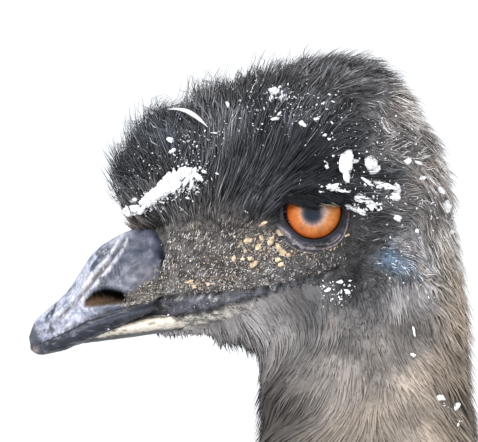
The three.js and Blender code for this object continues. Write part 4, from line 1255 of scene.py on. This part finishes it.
# %% One layer of tufts
def head_layer(name, count, steps, size, stand, width, keep=head_keep, jitter=0.25, wisp=3.2, pull=0.5, spread=0.5,
               soft=1.5, pale=0.06, **tints):
    """One layer of tufts over the head: size and stand are ranges that scale the guides' length and stand. On cheek and
    neck, low, the tufts are broader by soft, flatter and more alike, so that the coat there looks downy."""
    roots = scatter(body, *HEAD_SPAN, int(count * SHARE), keep)
    places = body.bare(*roots)
    guide = head_guide(places)
    n = len(places)
    x, z = about_eye(places)
    low = smooth(-4 - 14 * smooth(6, 16, x), -34, z)
    crest = ruffled(x, z)
    clump = 1 + (0.25 + 0.15 * crest) * noise(places, 4.0, 60)
    flatter = 1 - 0.42 * low * smooth(14, 24, np.abs(places[:, 1]))
    spine, outs = grow(body, *roots, guide[:, 3] * rng.uniform(*size, n) * clump, head_way,
                       guide[:, 2] * rng.uniform(*stand, n) * clump * flatter, steps,
                       hang=0.4 * smooth(-22, -36, x), root=mix(-0.6, -0.1, low))
    bend = np.linspace(0, 1, steps + 1)[1:] ** 1.5
    jitter = mix(jitter, 0.35 * jitter, np.maximum(low, 0.8 * smooth(14, 20, x) * smooth(14, 4, z))) * (1 + 0.5 * crest)
    sway = rng.normal(0, 1, (n, 1, 3)) * np.array([1, 1.4, 1]) * jitter[:, None, None]
    spine[:, 1:] += 3 * sway * bend[None, :, None]
    spine = gathered(spine, wisp, mix(pull, 0.3 * pull, low) * (1 + 0.35 * crest))
    wide = rng.uniform(*width, n) * mix(1.0, soft, low)
    pale = mix(pale, 0, low) * smooth(0.03, 0.09, guide[:, 4])
    return coat_piece(name, roots, spine, outs, wide, wide * mix(0.45, 0.06, low), banded(places, guide[:, 4]),
                      guide[:, 5], HEAD_SPAN, slot="head_feathers", spread=mix(spread, 0.14 * spread, low), pale=pale,
                      even=0.9 * low, rounded=low < 0.35, **tints)


# %% Grow the head
under_coat = head_layer("head_down", 32500, 2, (0.45, 0.85), (0.6, 1.1), (0.40, 0.62), spread=0.45, soft=4.0)
over_coat = head_layer("head_feathers", 24500, 3, (0.75, 1.25), (0.6, 1.15), (0.24, 0.42), jitter=0.35, spread=0.65,
                       soft=2.6, pale=0.10, paler=2.1)
head_layer("crest_wisps", 1500, 3, (1.15, 1.7), (0.85, 1.1), (0.22, 0.36), keep=crest_keep, jitter=0.4, wisp=4.5,
           pull=0.75, pale=0.0)


# %% Bristles of the lore
def lore_way(p, turn):
    """Short bristles point every way, a little more to the back."""
    return unit(np.stack([0.5 + 1.0 * noise(p, 1.3, 64), 0 * p[..., 0], 0.2 + 1.1 * noise(p, 1.3, 65)], -1))


def lore_keep(p, t):
    """The share of bristles that grow at a place of the lore, more here and less there."""
    return (~bare_face(p) & lore(p)) * (0.6 + 0.4 * noise(p, 4.0, 66))


roots = scatter(body, 0.0, station(6), int(17000 * SHARE), lore_keep)
n = len(roots[0])
x, z = about_eye(body.bare(*roots))
lightness = (0.34 * smooth(2, -24, z) + 0.085) * mix(1, 0.45, smooth(-18, -4, x))
feathers("lore_bristles", body, roots, rng.uniform(0.8, 2.4, n) * (1 + 0.7 * smooth(-16, -4, z)), lore_way,
         rng.uniform(0.3, 1.1, n), 2, rng.uniform(0.24, 0.48, n), 0.16, lightness, rng.uniform(0.3, 0.8, n),
         (0, station(6)), slot="head_feathers", spread=0.75, pale=0.14, paler=1.9)

# %% Bristles that cross onto the bill
roots = np.array([v.ravel() for v in ring_grid(np.linspace(0.5, 0.97, 220), 200)])
places = upper_bill.bare(*roots)
x, z = about_eye(places)
crossing = past_horn(x, z) > -2 + rng.uniform(0, 3, len(x))
crossing = crossing & (z > at_line(x, band_line) + 0.8) & (np.abs(places[:, 1]) > 5)
roots = roots[:, rng.permutation(np.nonzero(crossing)[0])[:int(2800 * SHARE)]]
n = roots.shape[1]
feathers("bill_bristles", upper_bill, roots, rng.uniform(0.7, 2.4, n), lore_way, rng.uniform(0.2, 0.9, n), 2,
         rng.uniform(0.22, 0.42, n), 0.16, 0.33, rng.uniform(0.3, 0.8, n), (0, 1), slot="head_feathers", spread=0.55,
         pale=0.12, paler=1.8)

# %% Fringe over the eye
FRINGE_EDGE = [(-14, 3.2), (-9.5, 2.6), (-6, 1.8), (-3.5, 0.5), (3.5, 0.1), (5.5, 1.6), (9, 1.1), (12, 1.8), (17, 3.0)]
FRINGE_Y = 36.6


def brow_fringe(name, side, count):
    """Spines that start on the brow and sweep back over the top of the eye; their tips reach an uneven lower edge."""
    tip_x = rng.uniform(-13, 17, count)
    tip_z = at_line(tip_x, FRINGE_EDGE) + rng.exponential(0.8, count)
    back, rise = rng.uniform(6, 12, count), rng.uniform(3.0, 6.5, count)
    tan = (tip_x > 4.5) & (tip_x < 10) & (tip_z < 1.8) & (rng.uniform(size=count) < 0.5)
    back, rise = np.where(tan, 0.36 * back, back), np.where(tan, 0.25 * rise, rise)
    share = np.linspace(0, 1, 4)[None]
    x = tip_x[:, None] - back[:, None] * (1 - share)
    z = tip_z[:, None] + rise[:, None] * (1 - share**1.4)
    y = side * (FRINGE_Y - 0.8 * share + rng.normal(0, 0.25, (count, 1)))
    spine = points_at(x, y, z)
    outs = np.broadcast_to([0.0, side, 0.0], spine.shape)
    roots = station(4.2 + x[:, 0] / 24), np.pi - side * -0.5 * np.pi + 0 * tip_x
    coat_piece(f"brow_fringe_{name}", roots, spine, outs, rng.uniform(0.22, 0.40, count), 0.12,
               np.where(tan, 0.16, 0.015), np.where(tan, 1.2, -0.5), HEAD_SPAN, slot="head_feathers")


for name, side in SIDES.items():
    brow_fringe(name, side, int(340 * SHARE))


# %% Long strands before the forehead
def forehead_strands(count):
    """Thin black strands that stand free before the crest, from the root of the bill up and forwards."""
    root_x, root_z, y = rng.uniform(-72, -66, count), rng.uniform(-1, 9, count), rng.uniform(-13, 13, count)
    length, lean = rng.uniform(13, 23, count), np.clip(rng.normal(0.42, 0.10, count), 0.2, 0.55)
    share = np.linspace(0, 1, 5)[None]
    bow = rng.normal(0, 1.3, (count, 1)) * share * (1 - share)
    x = (root_x + 0.02 * y**2)[:, None] - (length * lean)[:, None] * share - bow
    z = root_z[:, None] + (length * np.sqrt(1 - lean**2))[:, None] * share - bow
    spine = points_at(x, y[:, None] * (1 + 0.15 * share), z)
    outs = np.broadcast_to([-0.9, 0.0, -0.43], spine.shape)
    roots = station(3) + 0.0004 * root_z, 0.5 * np.pi + 0.02 * y
    coat_piece("forehead_strands", roots, spine, outs, 0.3, rng.uniform(0.24, 0.36, count), 0.02, -0.5, HEAD_SPAN,
               slot="head_feathers")


forehead_strands(int(110 * SHARE))

# %% [markdown]
# ## Snow and crumbs
# The bird has been out in the snow: flakes cling to its crest and cheek, and tan crumbs stick to the bristles before
# the eye. They are small lumps. A lump sits where the photograph shows it, on the outermost feathers or skin there.

# %% What the side view meets first
SEEN_FROM, SEEN_SIZE = (-130, -110), (240, 200)
NO_SURFACE_Y = -30.0


def outermost(places, share=0.08):
    """For squares of 1 mm of the side view, the y that a small share of the left side's points lie beyond."""
    left = places[places[:, 1] < -4]
    x, z = (v - start for v, start in zip(about_eye(left), SEEN_FROM))
    inside = (x > 0) & (x < SEEN_SIZE[0]) & (z > 0) & (z < SEEN_SIZE[1])
    square = x[inside].astype(int) * SEEN_SIZE[1] + z[inside].astype(int)
    y = left[inside, 1]
    order = np.lexsort((y, square))
    squares, first, count = np.unique(square[order], return_index=True, return_counts=True)
    surface = np.full(SEEN_SIZE[0] * SEEN_SIZE[1], np.nan)
    surface[squares] = y[order][first + (count * share).astype(int)]
    return surface.reshape(SEEN_SIZE)


flank = np.meshgrid(np.linspace(0, station(9.6), 420), np.linspace(0.02, np.pi - 0.02, 300), indexing="ij")
skin_places = body.point(*flank).reshape(-1, 3)
bill_places = upper_bill.point(*ring_grid(np.linspace(0.002, 1, 200), 160)).reshape(-1, 3)
seen_surface = outermost(np.vstack([under_coat, over_coat, skin_places, bill_places]))


def surface_at(x, z):
    """The outermost y behind a place of the side view, in mm about the eye line, or nan beside the bird."""
    return seen_surface[tuple(np.clip((v - start).astype(int), 0, size - 1)
                              for v, start, size in zip((x, z), SEEN_FROM, SEEN_SIZE))]


def settled(px, py):
    """Places in mm on the outermost feathers, skin or horn behind pixels of the photograph, and which are there."""
    y = np.full(np.shape(px), NO_SURFACE_Y)
    for _ in range(2):
        x, z = from_photo(px, py, y)
        found = surface_at(x, z)
        y = np.where(np.isnan(found), y, found)
    return points_at(x, y, z), ~np.isnan(found)


# %% Lumps
def ball(cut, rings, around):
    """The points of a ball about the y axis, and its faces. Its first and last ring are cut radians from the poles."""
    polar, spin = ring_grid(np.linspace(cut, np.pi - cut, rings), around)
    return tube(np.stack([np.sin(polar) * np.cos(spin), np.cos(polar), np.sin(polar) * np.sin(spin)], -1))


def turned(x, z, turn):
    """Places of the side view turned about its origin."""
    cos, sin = np.cos(turn)[:, None], np.sin(turn)[:, None]
    return x * cos - z * sin, x * sin + z * cos


def many(points, faces):
    """The points and faces of many like lumps as one mesh's."""
    count, each = points.shape[:2]
    steps = (np.arange(count) * each)[:, None, None]
    points = points.reshape(-1, 3)
    return points, turned_out(points, [(group[None] + steps).reshape(-1, group.shape[1]) for group in faces])


def lumps(places, half_sizes, rough, rings=2, around=5):
    """A closed lump at each place: a ball whose points are pushed in and out, stretched and turned in the side view."""
    shape, faces = ball(1.1, rings, around)
    shape[-2:] = [[0, 1, 0], [0, -1, 0]]
    n = len(places)
    shape = shape[None] * (1 + rough * rng.normal(size=(n, len(shape), 1))) * half_sizes[:, None]
    x, z = turned(shape[..., 0], shape[..., 2], rng.uniform(0, np.pi, n))
    return many(places[:, None] + np.stack([x, shape[..., 1], z], -1), faces)


def clots(rows, thick, ragged, rings=10, around=30, proud=0.0):
    """Closed, ragged cakes pressed on the bird, or proud of it by some mm. Rows are px, py, half length and half width
    in mm, and turn in degrees; noise round the outline pushes it in and out, and noise over the face makes it lumpy."""
    rows = np.array(rows, float)
    shape, faces = ball(0.1, rings, around)
    middle = settled(rows[:, 0], rows[:, 1])[0][:, None]
    place = shape[None] * 1.4 + np.arange(len(rows))[:, None, None] * 7.7
    push = 1 + ragged * (noise(place, 1.0, 71) + 0.7 * noise(place, 0.45, 72))
    across = shape[None, :, [0, 2]] * rows[:, None, 2:4] * push[..., None]
    x, z = turned(across[..., 0], across[..., 1], np.radians(rows[:, 4]))
    x, z = middle[..., 0] + x, middle[..., 2] + z
    under = surface_at(x - EYE[0], z - EYE[2])
    under = np.where(np.isnan(under), middle[..., 1], np.clip(under, middle[..., 1] - 1, middle[..., 1] + 1.5))
    lumpy = 1 + 0.5 * noise(place, 0.6, 73)
    rise = thick * np.minimum(rows[:, 2:4].min(1), 1.6)[:, None] * shape[None, :, 1] * lumpy
    return many(np.stack([x, mix(middle[..., 1], under, 0.5) + rise - proud, z], -1), faces)


def along_strokes(strokes):
    """Pixels scattered about strokes: from x, y to x, y, half width in pixels, count, and smallest and largest mm."""
    px, py, size = [], [], []
    for x0, y0, x1, y1, half, count, small, large in strokes:
        f = rng.uniform(0, 1, count)
        px.append(x0 + (x1 - x0) * f + rng.normal(0, half / 2, count))
        py.append(y0 + (y1 - y0) * f + rng.normal(0, half / 2, count))
        size.append(small + (large - small) * rng.uniform(0, 1, count) ** 2.2)
    places, there = settled(np.concatenate(px), np.concatenate(py))
    return places[there], np.concatenate(size)[there]


def tone_of(points, low, high):
    """A colour for each point between two, by a fine noise."""
    return over(low, high, 0.5 + 0.5 * noise(points, 0.9, 74))


# %% Snow in cakes
snow_cakes = [
    (345, 163, 3.8, 2.7, 80), (347, 176, 2.6, 1.3, -70), (353, 161, 1.9, 1.0, 10), (371, 163, 3.0, 2.1, -60),
    (374, 169, 2.2, 1.9, 20), (398, 218, 1.5, 1.2, 0),
    (446, 207, 2.3, 2.1, 30), (275, 91, 2.3, 1.5, -15), (283, 98, 1.7, 1.3, 30), (271, 99, 1.9, 0.8, 80),
    (303, 124, 1.4, 0.8, -35), (316, 119, 1.2, 0.5, 5), (275, 119, 1.5, 0.6, 15), (279, 114, 0.9, 0.4, 50),
    (258, 110, 1.4, 0.5, -12), (325, 135, 0.8, 0.6, 0), (329, 139, 0.7, 0.5, 0), (327, 167, 0.8, 0.7, 0),
    (408, 161, 1.4, 1.0, 20), (419, 163, 1.6, 0.6, -20), (423, 178, 1.2, 0.7, 10), (441, 190, 1.7, 1.0, -55),
    (453, 217, 1.1, 0.9, 60), (417, 231, 0.9, 0.8, 0), (452, 232, 0.9, 0.9, 0), (414, 331, 1.8, 0.5, 100),
    (413, 355, 0.9, 0.8, 0), (441, 398, 1.6, 1.0, 0), (457, 406, 1.6, 1.0, 60), (460, 418, 1.8, 1.1, 80),
    (170, 140, 1.7, 0.9, -30), (173, 151, 1.3, 0.7, 40), (228, 105, 1.6, 0.7, -60),
    (215, 133, 1.6, 0.3, -5), (340, 282, 1.4, 0.7, 10), (328, 290, 1.3, 0.7, 30), (347, 291, 1.2, 0.6, -40),
]
brow_cakes = [
    (380, 184, 4.2, 1.1, -12), (368, 182, 2.4, 0.7, -30), (394, 197, 1.9, 1.6, 0), (397, 190, 2.8, 1.2, 100),
    (361, 199, 2.4, 1.3, -20), (371, 204, 2.9, 1.5, -35), (333, 187, 2.4, 1.1, 8), (345, 191, 2.8, 0.6, -10),
    (352, 208, 3.8, 0.8, -30), (362, 212, 2.4, 0.8, -35), (339, 203, 3.0, 0.5, -30), (322, 192, 1.8, 0.5, 0),
]
crest_cakes = [
    (131, 210, 3.0, 2.0, 10), (138, 209, 2.4, 1.6, 0), (145, 203, 2.8, 2.2, 60), (150, 199, 3.4, 2.2, 50),
    (157, 194, 3.2, 2.0, 40), (163, 189, 3.6, 2.6, 45), (169, 183, 3.6, 2.8, 50), (175, 178, 3.2, 2.4, 60),
    (181, 175, 3.2, 1.8, 50), (187, 172, 2.6, 1.3, 30), (192, 174, 2.6, 1.0, 60), (198, 177, 2.2, 0.9, -40),
    (176, 188, 2.2, 0.9, 55), (185, 183, 2.0, 0.7, 65), (191, 185, 1.8, 0.6, 70), (135, 200, 1.2, 0.8, 20),
]
cakes = [clots(snow_cakes, 0.55, 0.40, proud=0.7), clots(brow_cakes, 0.40, 0.60, proud=-0.1),
         clots(crest_cakes, 0.34, 0.50, proud=1.9)]
points, faces = joined_parts(cakes)
snow_finish = finish("snow", 0.55, size=900, strength=0.15, bump=0.5, bump_mm=0.4)
new_piece("snow_cakes", points, faces, snow_finish, tint=tone_of(points, [0.82, 0.84, 0.86], [0.93, 0.94, 0.95]))

# %% Snow in flecks
snow_strokes = [
    (126, 213, 160, 196, 10, 200, 0.2, 0.8), (148, 203, 199, 172, 14, 420, 0.2, 0.8),
    (176, 192, 206, 176, 14, 220, 0.15, 0.6), (268, 92, 288, 98, 8, 50, 0.2, 0.7),
    (338, 155, 352, 182, 9, 30, 0.2, 0.6), (364, 183, 390, 188, 5, 60, 0.2, 0.7),
    (391, 198, 402, 187, 7, 30, 0.2, 0.7), (357, 196, 380, 206, 6, 60, 0.2, 0.7),
    (324, 187, 342, 189, 6, 40, 0.2, 0.6), (330, 197, 366, 212, 4, 110, 0.2, 0.6),
    (302, 183, 325, 193, 6, 24, 0.15, 0.5), (322, 288, 352, 290, 9, 60, 0.2, 0.6),
    (324, 298, 350, 300, 7, 50, 0.2, 0.5), (330, 281, 342, 284, 4, 24, 0.2, 0.6),
    (440, 398, 460, 425, 8, 24, 0.3, 0.9), (170, 150, 330, 105, 26, 420, 0.12, 0.45),
    (125, 185, 230, 115, 24, 330, 0.12, 0.45), (250, 90, 420, 150, 26, 520, 0.12, 0.45),
    (330, 150, 440, 230, 26, 260, 0.12, 0.5), (380, 230, 440, 320, 22, 110, 0.12, 0.5),
    (240, 100, 300, 90, 12, 130, 0.12, 0.6), (108, 329, 111, 329, 1, 5, 0.3, 0.8),
    (136, 325, 139, 321, 1, 4, 0.3, 0.6), (100, 316, 101, 316, 1, 2, 0.3, 0.5),
    (150, 319, 156, 318, 1, 4, 0.2, 0.5), (168, 315, 169, 315, 1, 3, 0.3, 0.5),
    (210, 301, 214, 301, 1, 4, 0.2, 0.6), (180, 312, 250, 300, 4, 16, 0.1, 0.3),
    (169, 232, 171, 250, 1.5, 26, 0.15, 0.5), (246, 211, 249, 212, 1, 3, 0.4, 0.7),
]
places, size = along_strokes(snow_strokes)
FAR_SIDE_SHARE = 0.45
far_side = rng.uniform(size=len(size)) < FAR_SIDE_SHARE
places[far_side, 1] *= -1
stretch = rng.uniform(0.5, 1.5, (len(size), 3)) * [1.3, 0.7, 0.7]
points, faces = lumps(places, size[:, None] * stretch, 0.16)
new_piece("snow_flecks", points, faces, snow_finish, tint=tone_of(points, [0.75, 0.77, 0.80], [0.93, 0.94, 0.95]))


# %% A shaft of ice
def shaft(rows, along=26, around=8):
    """A closed, tapered and curved spindle through rows of px, py and half width in mm, a little off the crest."""
    px, py, half = through(rows, np.linspace(0, 1, along)).T
    places, _ = settled(px, py)
    places[:, 1] = places[:, 1].min() - 0.8
    ahead = unit(np.gradient(places, axis=0))
    across = unit(np.cross(ahead, [0.0, 1.0, 0.0]))
    spin = np.linspace(0, 2 * np.pi, around, endpoint=False)[None, :, None]
    oval = across[:, None] * np.cos(spin) + np.array([0, 0.5, 0]) * np.sin(spin)
    return tube(places[:, None] + half[:, None, None] * oval)


points, faces = shaft([(168, 109.5, 0.1), (178, 109.5, 0.45), (188, 112, 0.85), (197, 117.5, 0.8), (204, 123.5, 0.4),
                       (208, 127.5, 0.08)])
new_piece("ice_shaft", points, faces, snow_finish, tint=tone_of(points, [0.66, 0.64, 0.64], [0.90, 0.89, 0.88]))

# %% Crumbs
crumb_cakes = [
    (280, 232, 1.8, 1.5, 10), (248, 240, 1.5, 1.1, 30), (261, 237, 1.4, 1.0, -50), (258, 247, 1.5, 0.9, 70),
    (271, 241, 1.7, 0.9, 65), (279, 248, 1.7, 1.0, -60), (283, 253, 1.3, 1.1, -40), (264, 223, 1.7, 0.6, 25),
    (234, 259, 1.3, 0.8, 75), (245, 251, 0.9, 0.5, 80), (254, 264, 1.5, 0.9, 40), (278, 260, 1.3, 0.8, 10),
    (281, 265, 1.1, 0.9, 50), (288, 256, 0.9, 0.8, 60), (250, 258, 1.1, 0.7, -20), (243, 259, 0.8, 0.6, 0),
    (190, 282, 1.3, 0.9, 30), (194, 287, 0.9, 0.7, 0), (208, 284, 0.8, 0.6, 0), (348, 235, 1.0, 0.4, 25),
]
points, faces = clots(crumb_cakes, 0.6, 0.60, rings=6, around=13)
crumb_finish = finish("crumbs", 0.75, size=700, strength=1.6, bump=0.6, bump_mm=0.3)
new_piece("crumbs_large", points, faces, crumb_finish, smooth_faces=False,
          tint=tone_of(points, [0.30, 0.20, 0.11], [0.88, 0.72, 0.50]))
crumb_strokes = [
    (240, 245, 290, 252, 13, 90, 0.2, 0.6), (232, 240, 285, 228, 13, 60, 0.2, 0.5),
    (288, 250, 320, 258, 5, 40, 0.2, 0.5), (322, 254, 346, 243, 2, 18, 0.2, 0.5),
    (200, 262, 260, 262, 12, 90, 0.15, 0.45), (160, 285, 240, 280, 9, 90, 0.15, 0.5),
]
places, size = along_strokes(crumb_strokes)
points, faces = lumps(places, size[:, None] * rng.uniform(0.45, 1.25, (len(size), 3)) * [1, 0.7, 1], 0.22)
new_piece("crumbs_small", points, faces, crumb_finish, tint=tone_of(points, [0.28, 0.19, 0.12], [0.66, 0.52, 0.38]))

# %% [markdown]
# ## Neck and body
# Lower down the feathers grow longer and looser. The neck's lie straight down; those of the trunk part along the back
# and fall to both sides, as long as a hand; the last of them hang over the rump as the tail.


# %% Neck feathers
NECK_SPAN = (station(10.2), station(15.8))
TRUNK_SPAN = (station(15.4), 1)


def down(p, turn):
    """Straight down, with a little sway."""
    sway = 0.18 * noise(p, 26.0, 53)
    return unit(np.stack([sway, 0.18 * noise(p, 26.0, 54), -np.ones(sway.shape)], -1))


roots = scatter(body, *NECK_SPAN, int(9500 * SHARE))
n = len(roots[0])
low = smooth(*NECK_SPAN, roots[0])
feathers("neck_feathers", body, roots, mix(16, 78, low) * rng.uniform(0.75, 1.2, n), down,
         mix(0.32, 0.22, low) * rng.uniform(0.6, 1.3, n), 3, mix(1.0, 3.4, low) * rng.uniform(0.8, 1.2, n),
         mix(0.5, 1.3, low), 0.07 + 0.20 * smooth(station(13.4), station(10.2), roots[0]), 0.85, NECK_SPAN, hang=0.3)


# %% Trunk and tail feathers
def trunk_way(p, turn):
    """Down and outwards from the parting on the back, and straighter down towards the tail."""
    sway = 0.3 * noise(p, 60.0, 55)
    tailward = smooth(station(21.5), station(23), np.interp(p[..., 0], [-300, 412], [station(15.5), 1]))
    return unit(np.stack([mix(0.62, 0.32, tailward) + sway, -0.75 * np.sin(turn), mix(-0.78, -1.0, tailward)], -1))


roots = scatter(body, station(15.4), station(24.9), int(12500 * SHARE))
n = len(roots[0])
underside = 1 - 0.4 * smooth(0.3, 0.9, -np.cos(roots[1]))
length = mix(120, 170, smooth(station(15.4), station(18), roots[0])) * underside
feathers("trunk_feathers", body, roots, length * rng.uniform(0.75, 1.1, n), trunk_way, rng.uniform(0.08, 0.26, n), 4,
         rng.uniform(3.6, 5.6, n), rng.uniform(1.0, 1.8, n), 0.050, 0.85, TRUNK_SPAN, hang=1.0)

# %% [markdown]
# ## Wings
# An emu's wing is a stub as long as a hand, folded flat against the side under the coat. Its slack feathers hang from
# it and break the line of the side. The arm is a thin leaf on the body, and its feathers root over it.

# %% Wings
WING_STATION, WING_TURN = station(18.4), np.radians(82)
WING_SIZE = np.array([122.0, 50.0])
WING_DROOP = np.radians(36)
ARM_THICK, ARM_SUNK, OVER_ARM = 15, 6, 6


def wing_place(side, u, v):
    """Station and turn of a place on the wing: u along it to its drooping end and v down across it, in mm."""
    t0, turn0 = np.full(1, WING_STATION), np.full(1, -side * WING_TURN)
    along, around = (np.linalg.norm(slope) for slope in body.slopes(t0, turn0))
    back = u * np.cos(WING_DROOP) - v * np.sin(WING_DROOP)
    down_by = u * np.sin(WING_DROOP) + v * np.cos(WING_DROOP)
    return t0 + back / along, turn0 - side * down_by / around


def wing_height(u, v):
    """The arm's thickness in mm: a low dome over the leaf's outline."""
    return ARM_THICK * np.clip(1 - (u / WING_SIZE[0]) ** 2 - (v / WING_SIZE[1]) ** 2, 0, 1) ** 0.5


def wing_leaf(side):
    """A closed leaf: rings shrink from its middle line to both faces, the outer one domed and the inner one sunk."""
    a, b = ring_grid(np.linspace(0.02, np.pi - 0.02, 40), 64)
    u, v = WING_SIZE[0] * np.sin(a) * np.cos(b), WING_SIZE[1] * np.sin(a) * np.sin(b)
    t, turn = wing_place(side, u, v)
    return body.point(t, turn, np.where(np.cos(a) > 0, wing_height(u, v), -ARM_SUNK * np.abs(np.cos(a))))


def wing_way(p, turn):
    """Back and down."""
    level = 0 * p[..., 0]
    return unit(np.stack([0.5 + 0.25 * noise(p, 50, 56), level, -0.85 + level], -1))


for name, side in SIDES.items():
    points, faces = tube(wing_leaf(side))
    new_piece(f"wing_arm_{name}", points, faces, skin_finish, "plumage", tint=skin_tint(points))
    n = int(1300 * SHARE)
    radius, around = np.sqrt(rng.uniform(0, 1, n)), rng.uniform(0, 2 * np.pi, n)
    u, v = WING_SIZE[0] * radius * np.cos(around), WING_SIZE[1] * radius * np.sin(around)
    feathers(f"wing_feathers_{name}", body, wing_place(side, u, v), rng.uniform(90, 132, n), wing_way,
             rng.uniform(0.08, 0.22, n), 4, rng.uniform(3.4, 5.0, n), rng.uniform(1.0, 1.6, n), 0.045, 0.9, TRUNK_SPAN,
             hang=1.0, root=wing_height(u, v) + OVER_ARM)

# %% Thigh feathers
for name, leg in legs.items():
    roots = scatter(leg, leg_station(0.6), HOCK - 0.02, int(2300 * SHARE))
    n = len(roots[0])
    feathers(f"thigh_feathers_{name}", leg, roots,
             mix(95, 34, smooth(leg_station(2.5), HOCK, roots[0])) * rng.uniform(0.75, 1.1, n), down,
             rng.uniform(0.08, 0.25, n), 3, rng.uniform(2.6, 4.2, n), rng.uniform(0.9, 1.5, n), 0.055, 0.8, (0, HOCK),
             hang=0.6)

# %% [markdown]
# ## Floor and light
# The model stands on a plain pale floor in an even studio: a bright surround, a broad key light from the upper left and
# a fill. The floor and its light aren't part of the bird.

# %% Floor
FLOOR_HALF = 12
floor_mesh = bpy.data.meshes.new("floor")
corners = [(-FLOOR_HALF, -FLOOR_HALF, 0), (FLOOR_HALF, -FLOOR_HALF, 0), (FLOOR_HALF, FLOOR_HALF, 0),
           (-FLOOR_HALF, FLOOR_HALF, 0)]
floor_mesh.from_pydata(corners, [], [(0, 1, 2, 3)])
floor = bpy.data.objects.new("floor", floor_mesh)
bpy.context.collection.objects.link(floor)
floor_finish = bpy.data.materials.new("floor")
floor_finish.use_nodes = True
shader = floor_finish.node_tree.nodes["Principled BSDF"]
shader.inputs["Base Color"].default_value = (0.82, 0.82, 0.83, 1)
shader.inputs["Roughness"].default_value = 0.9
floor_mesh.materials.append(floor_finish)

# %% Lights
world = bpy.data.worlds.new("studio")
world.use_nodes = True
surround = world.node_tree.nodes["Background"]
surround.inputs["Color"].default_value = (0.95, 0.975, 1.0, 1)
sight, strength = world.node_tree.nodes.new("ShaderNodeLightPath"), world.node_tree.nodes.new("ShaderNodeMapRange")
strength.inputs["To Min"].default_value = 0.90
strength.inputs["To Max"].default_value = 1.12
world.node_tree.links.new(sight.outputs["Is Camera Ray"], strength.inputs["Value"])
world.node_tree.links.new(strength.outputs["Result"], surround.inputs["Strength"])
bpy.context.scene.world = world
bpy.context.scene.view_settings.view_transform = "Standard"


def lamp(name, place, target, size, power):
    light = bpy.data.lights.new(name, "AREA")
    light.size, light.energy = size, power
    holder = bpy.data.objects.new(name, light)
    bpy.context.collection.objects.link(holder)
    holder.location = place
    holder.rotation_euler = (Vector(target) - Vector(place)).to_track_quat("-Z", "Y").to_euler()


head_at = EYE * MM + origin
lamp("key", (-2.2, -2.4, 3.2), head_at, 1.6, 115)
lamp("fill", (1.5, -2.8, 1.9), head_at, 2.0, 32)

# %% Count the triangles
pieces = [o for o in bpy.data.objects if o.type == "MESH" and o is not floor and not o.hide_render]
print("triangles:", sum(len(piece.data.loops) - 2 * len(piece.data.polygons) for piece in pieces))
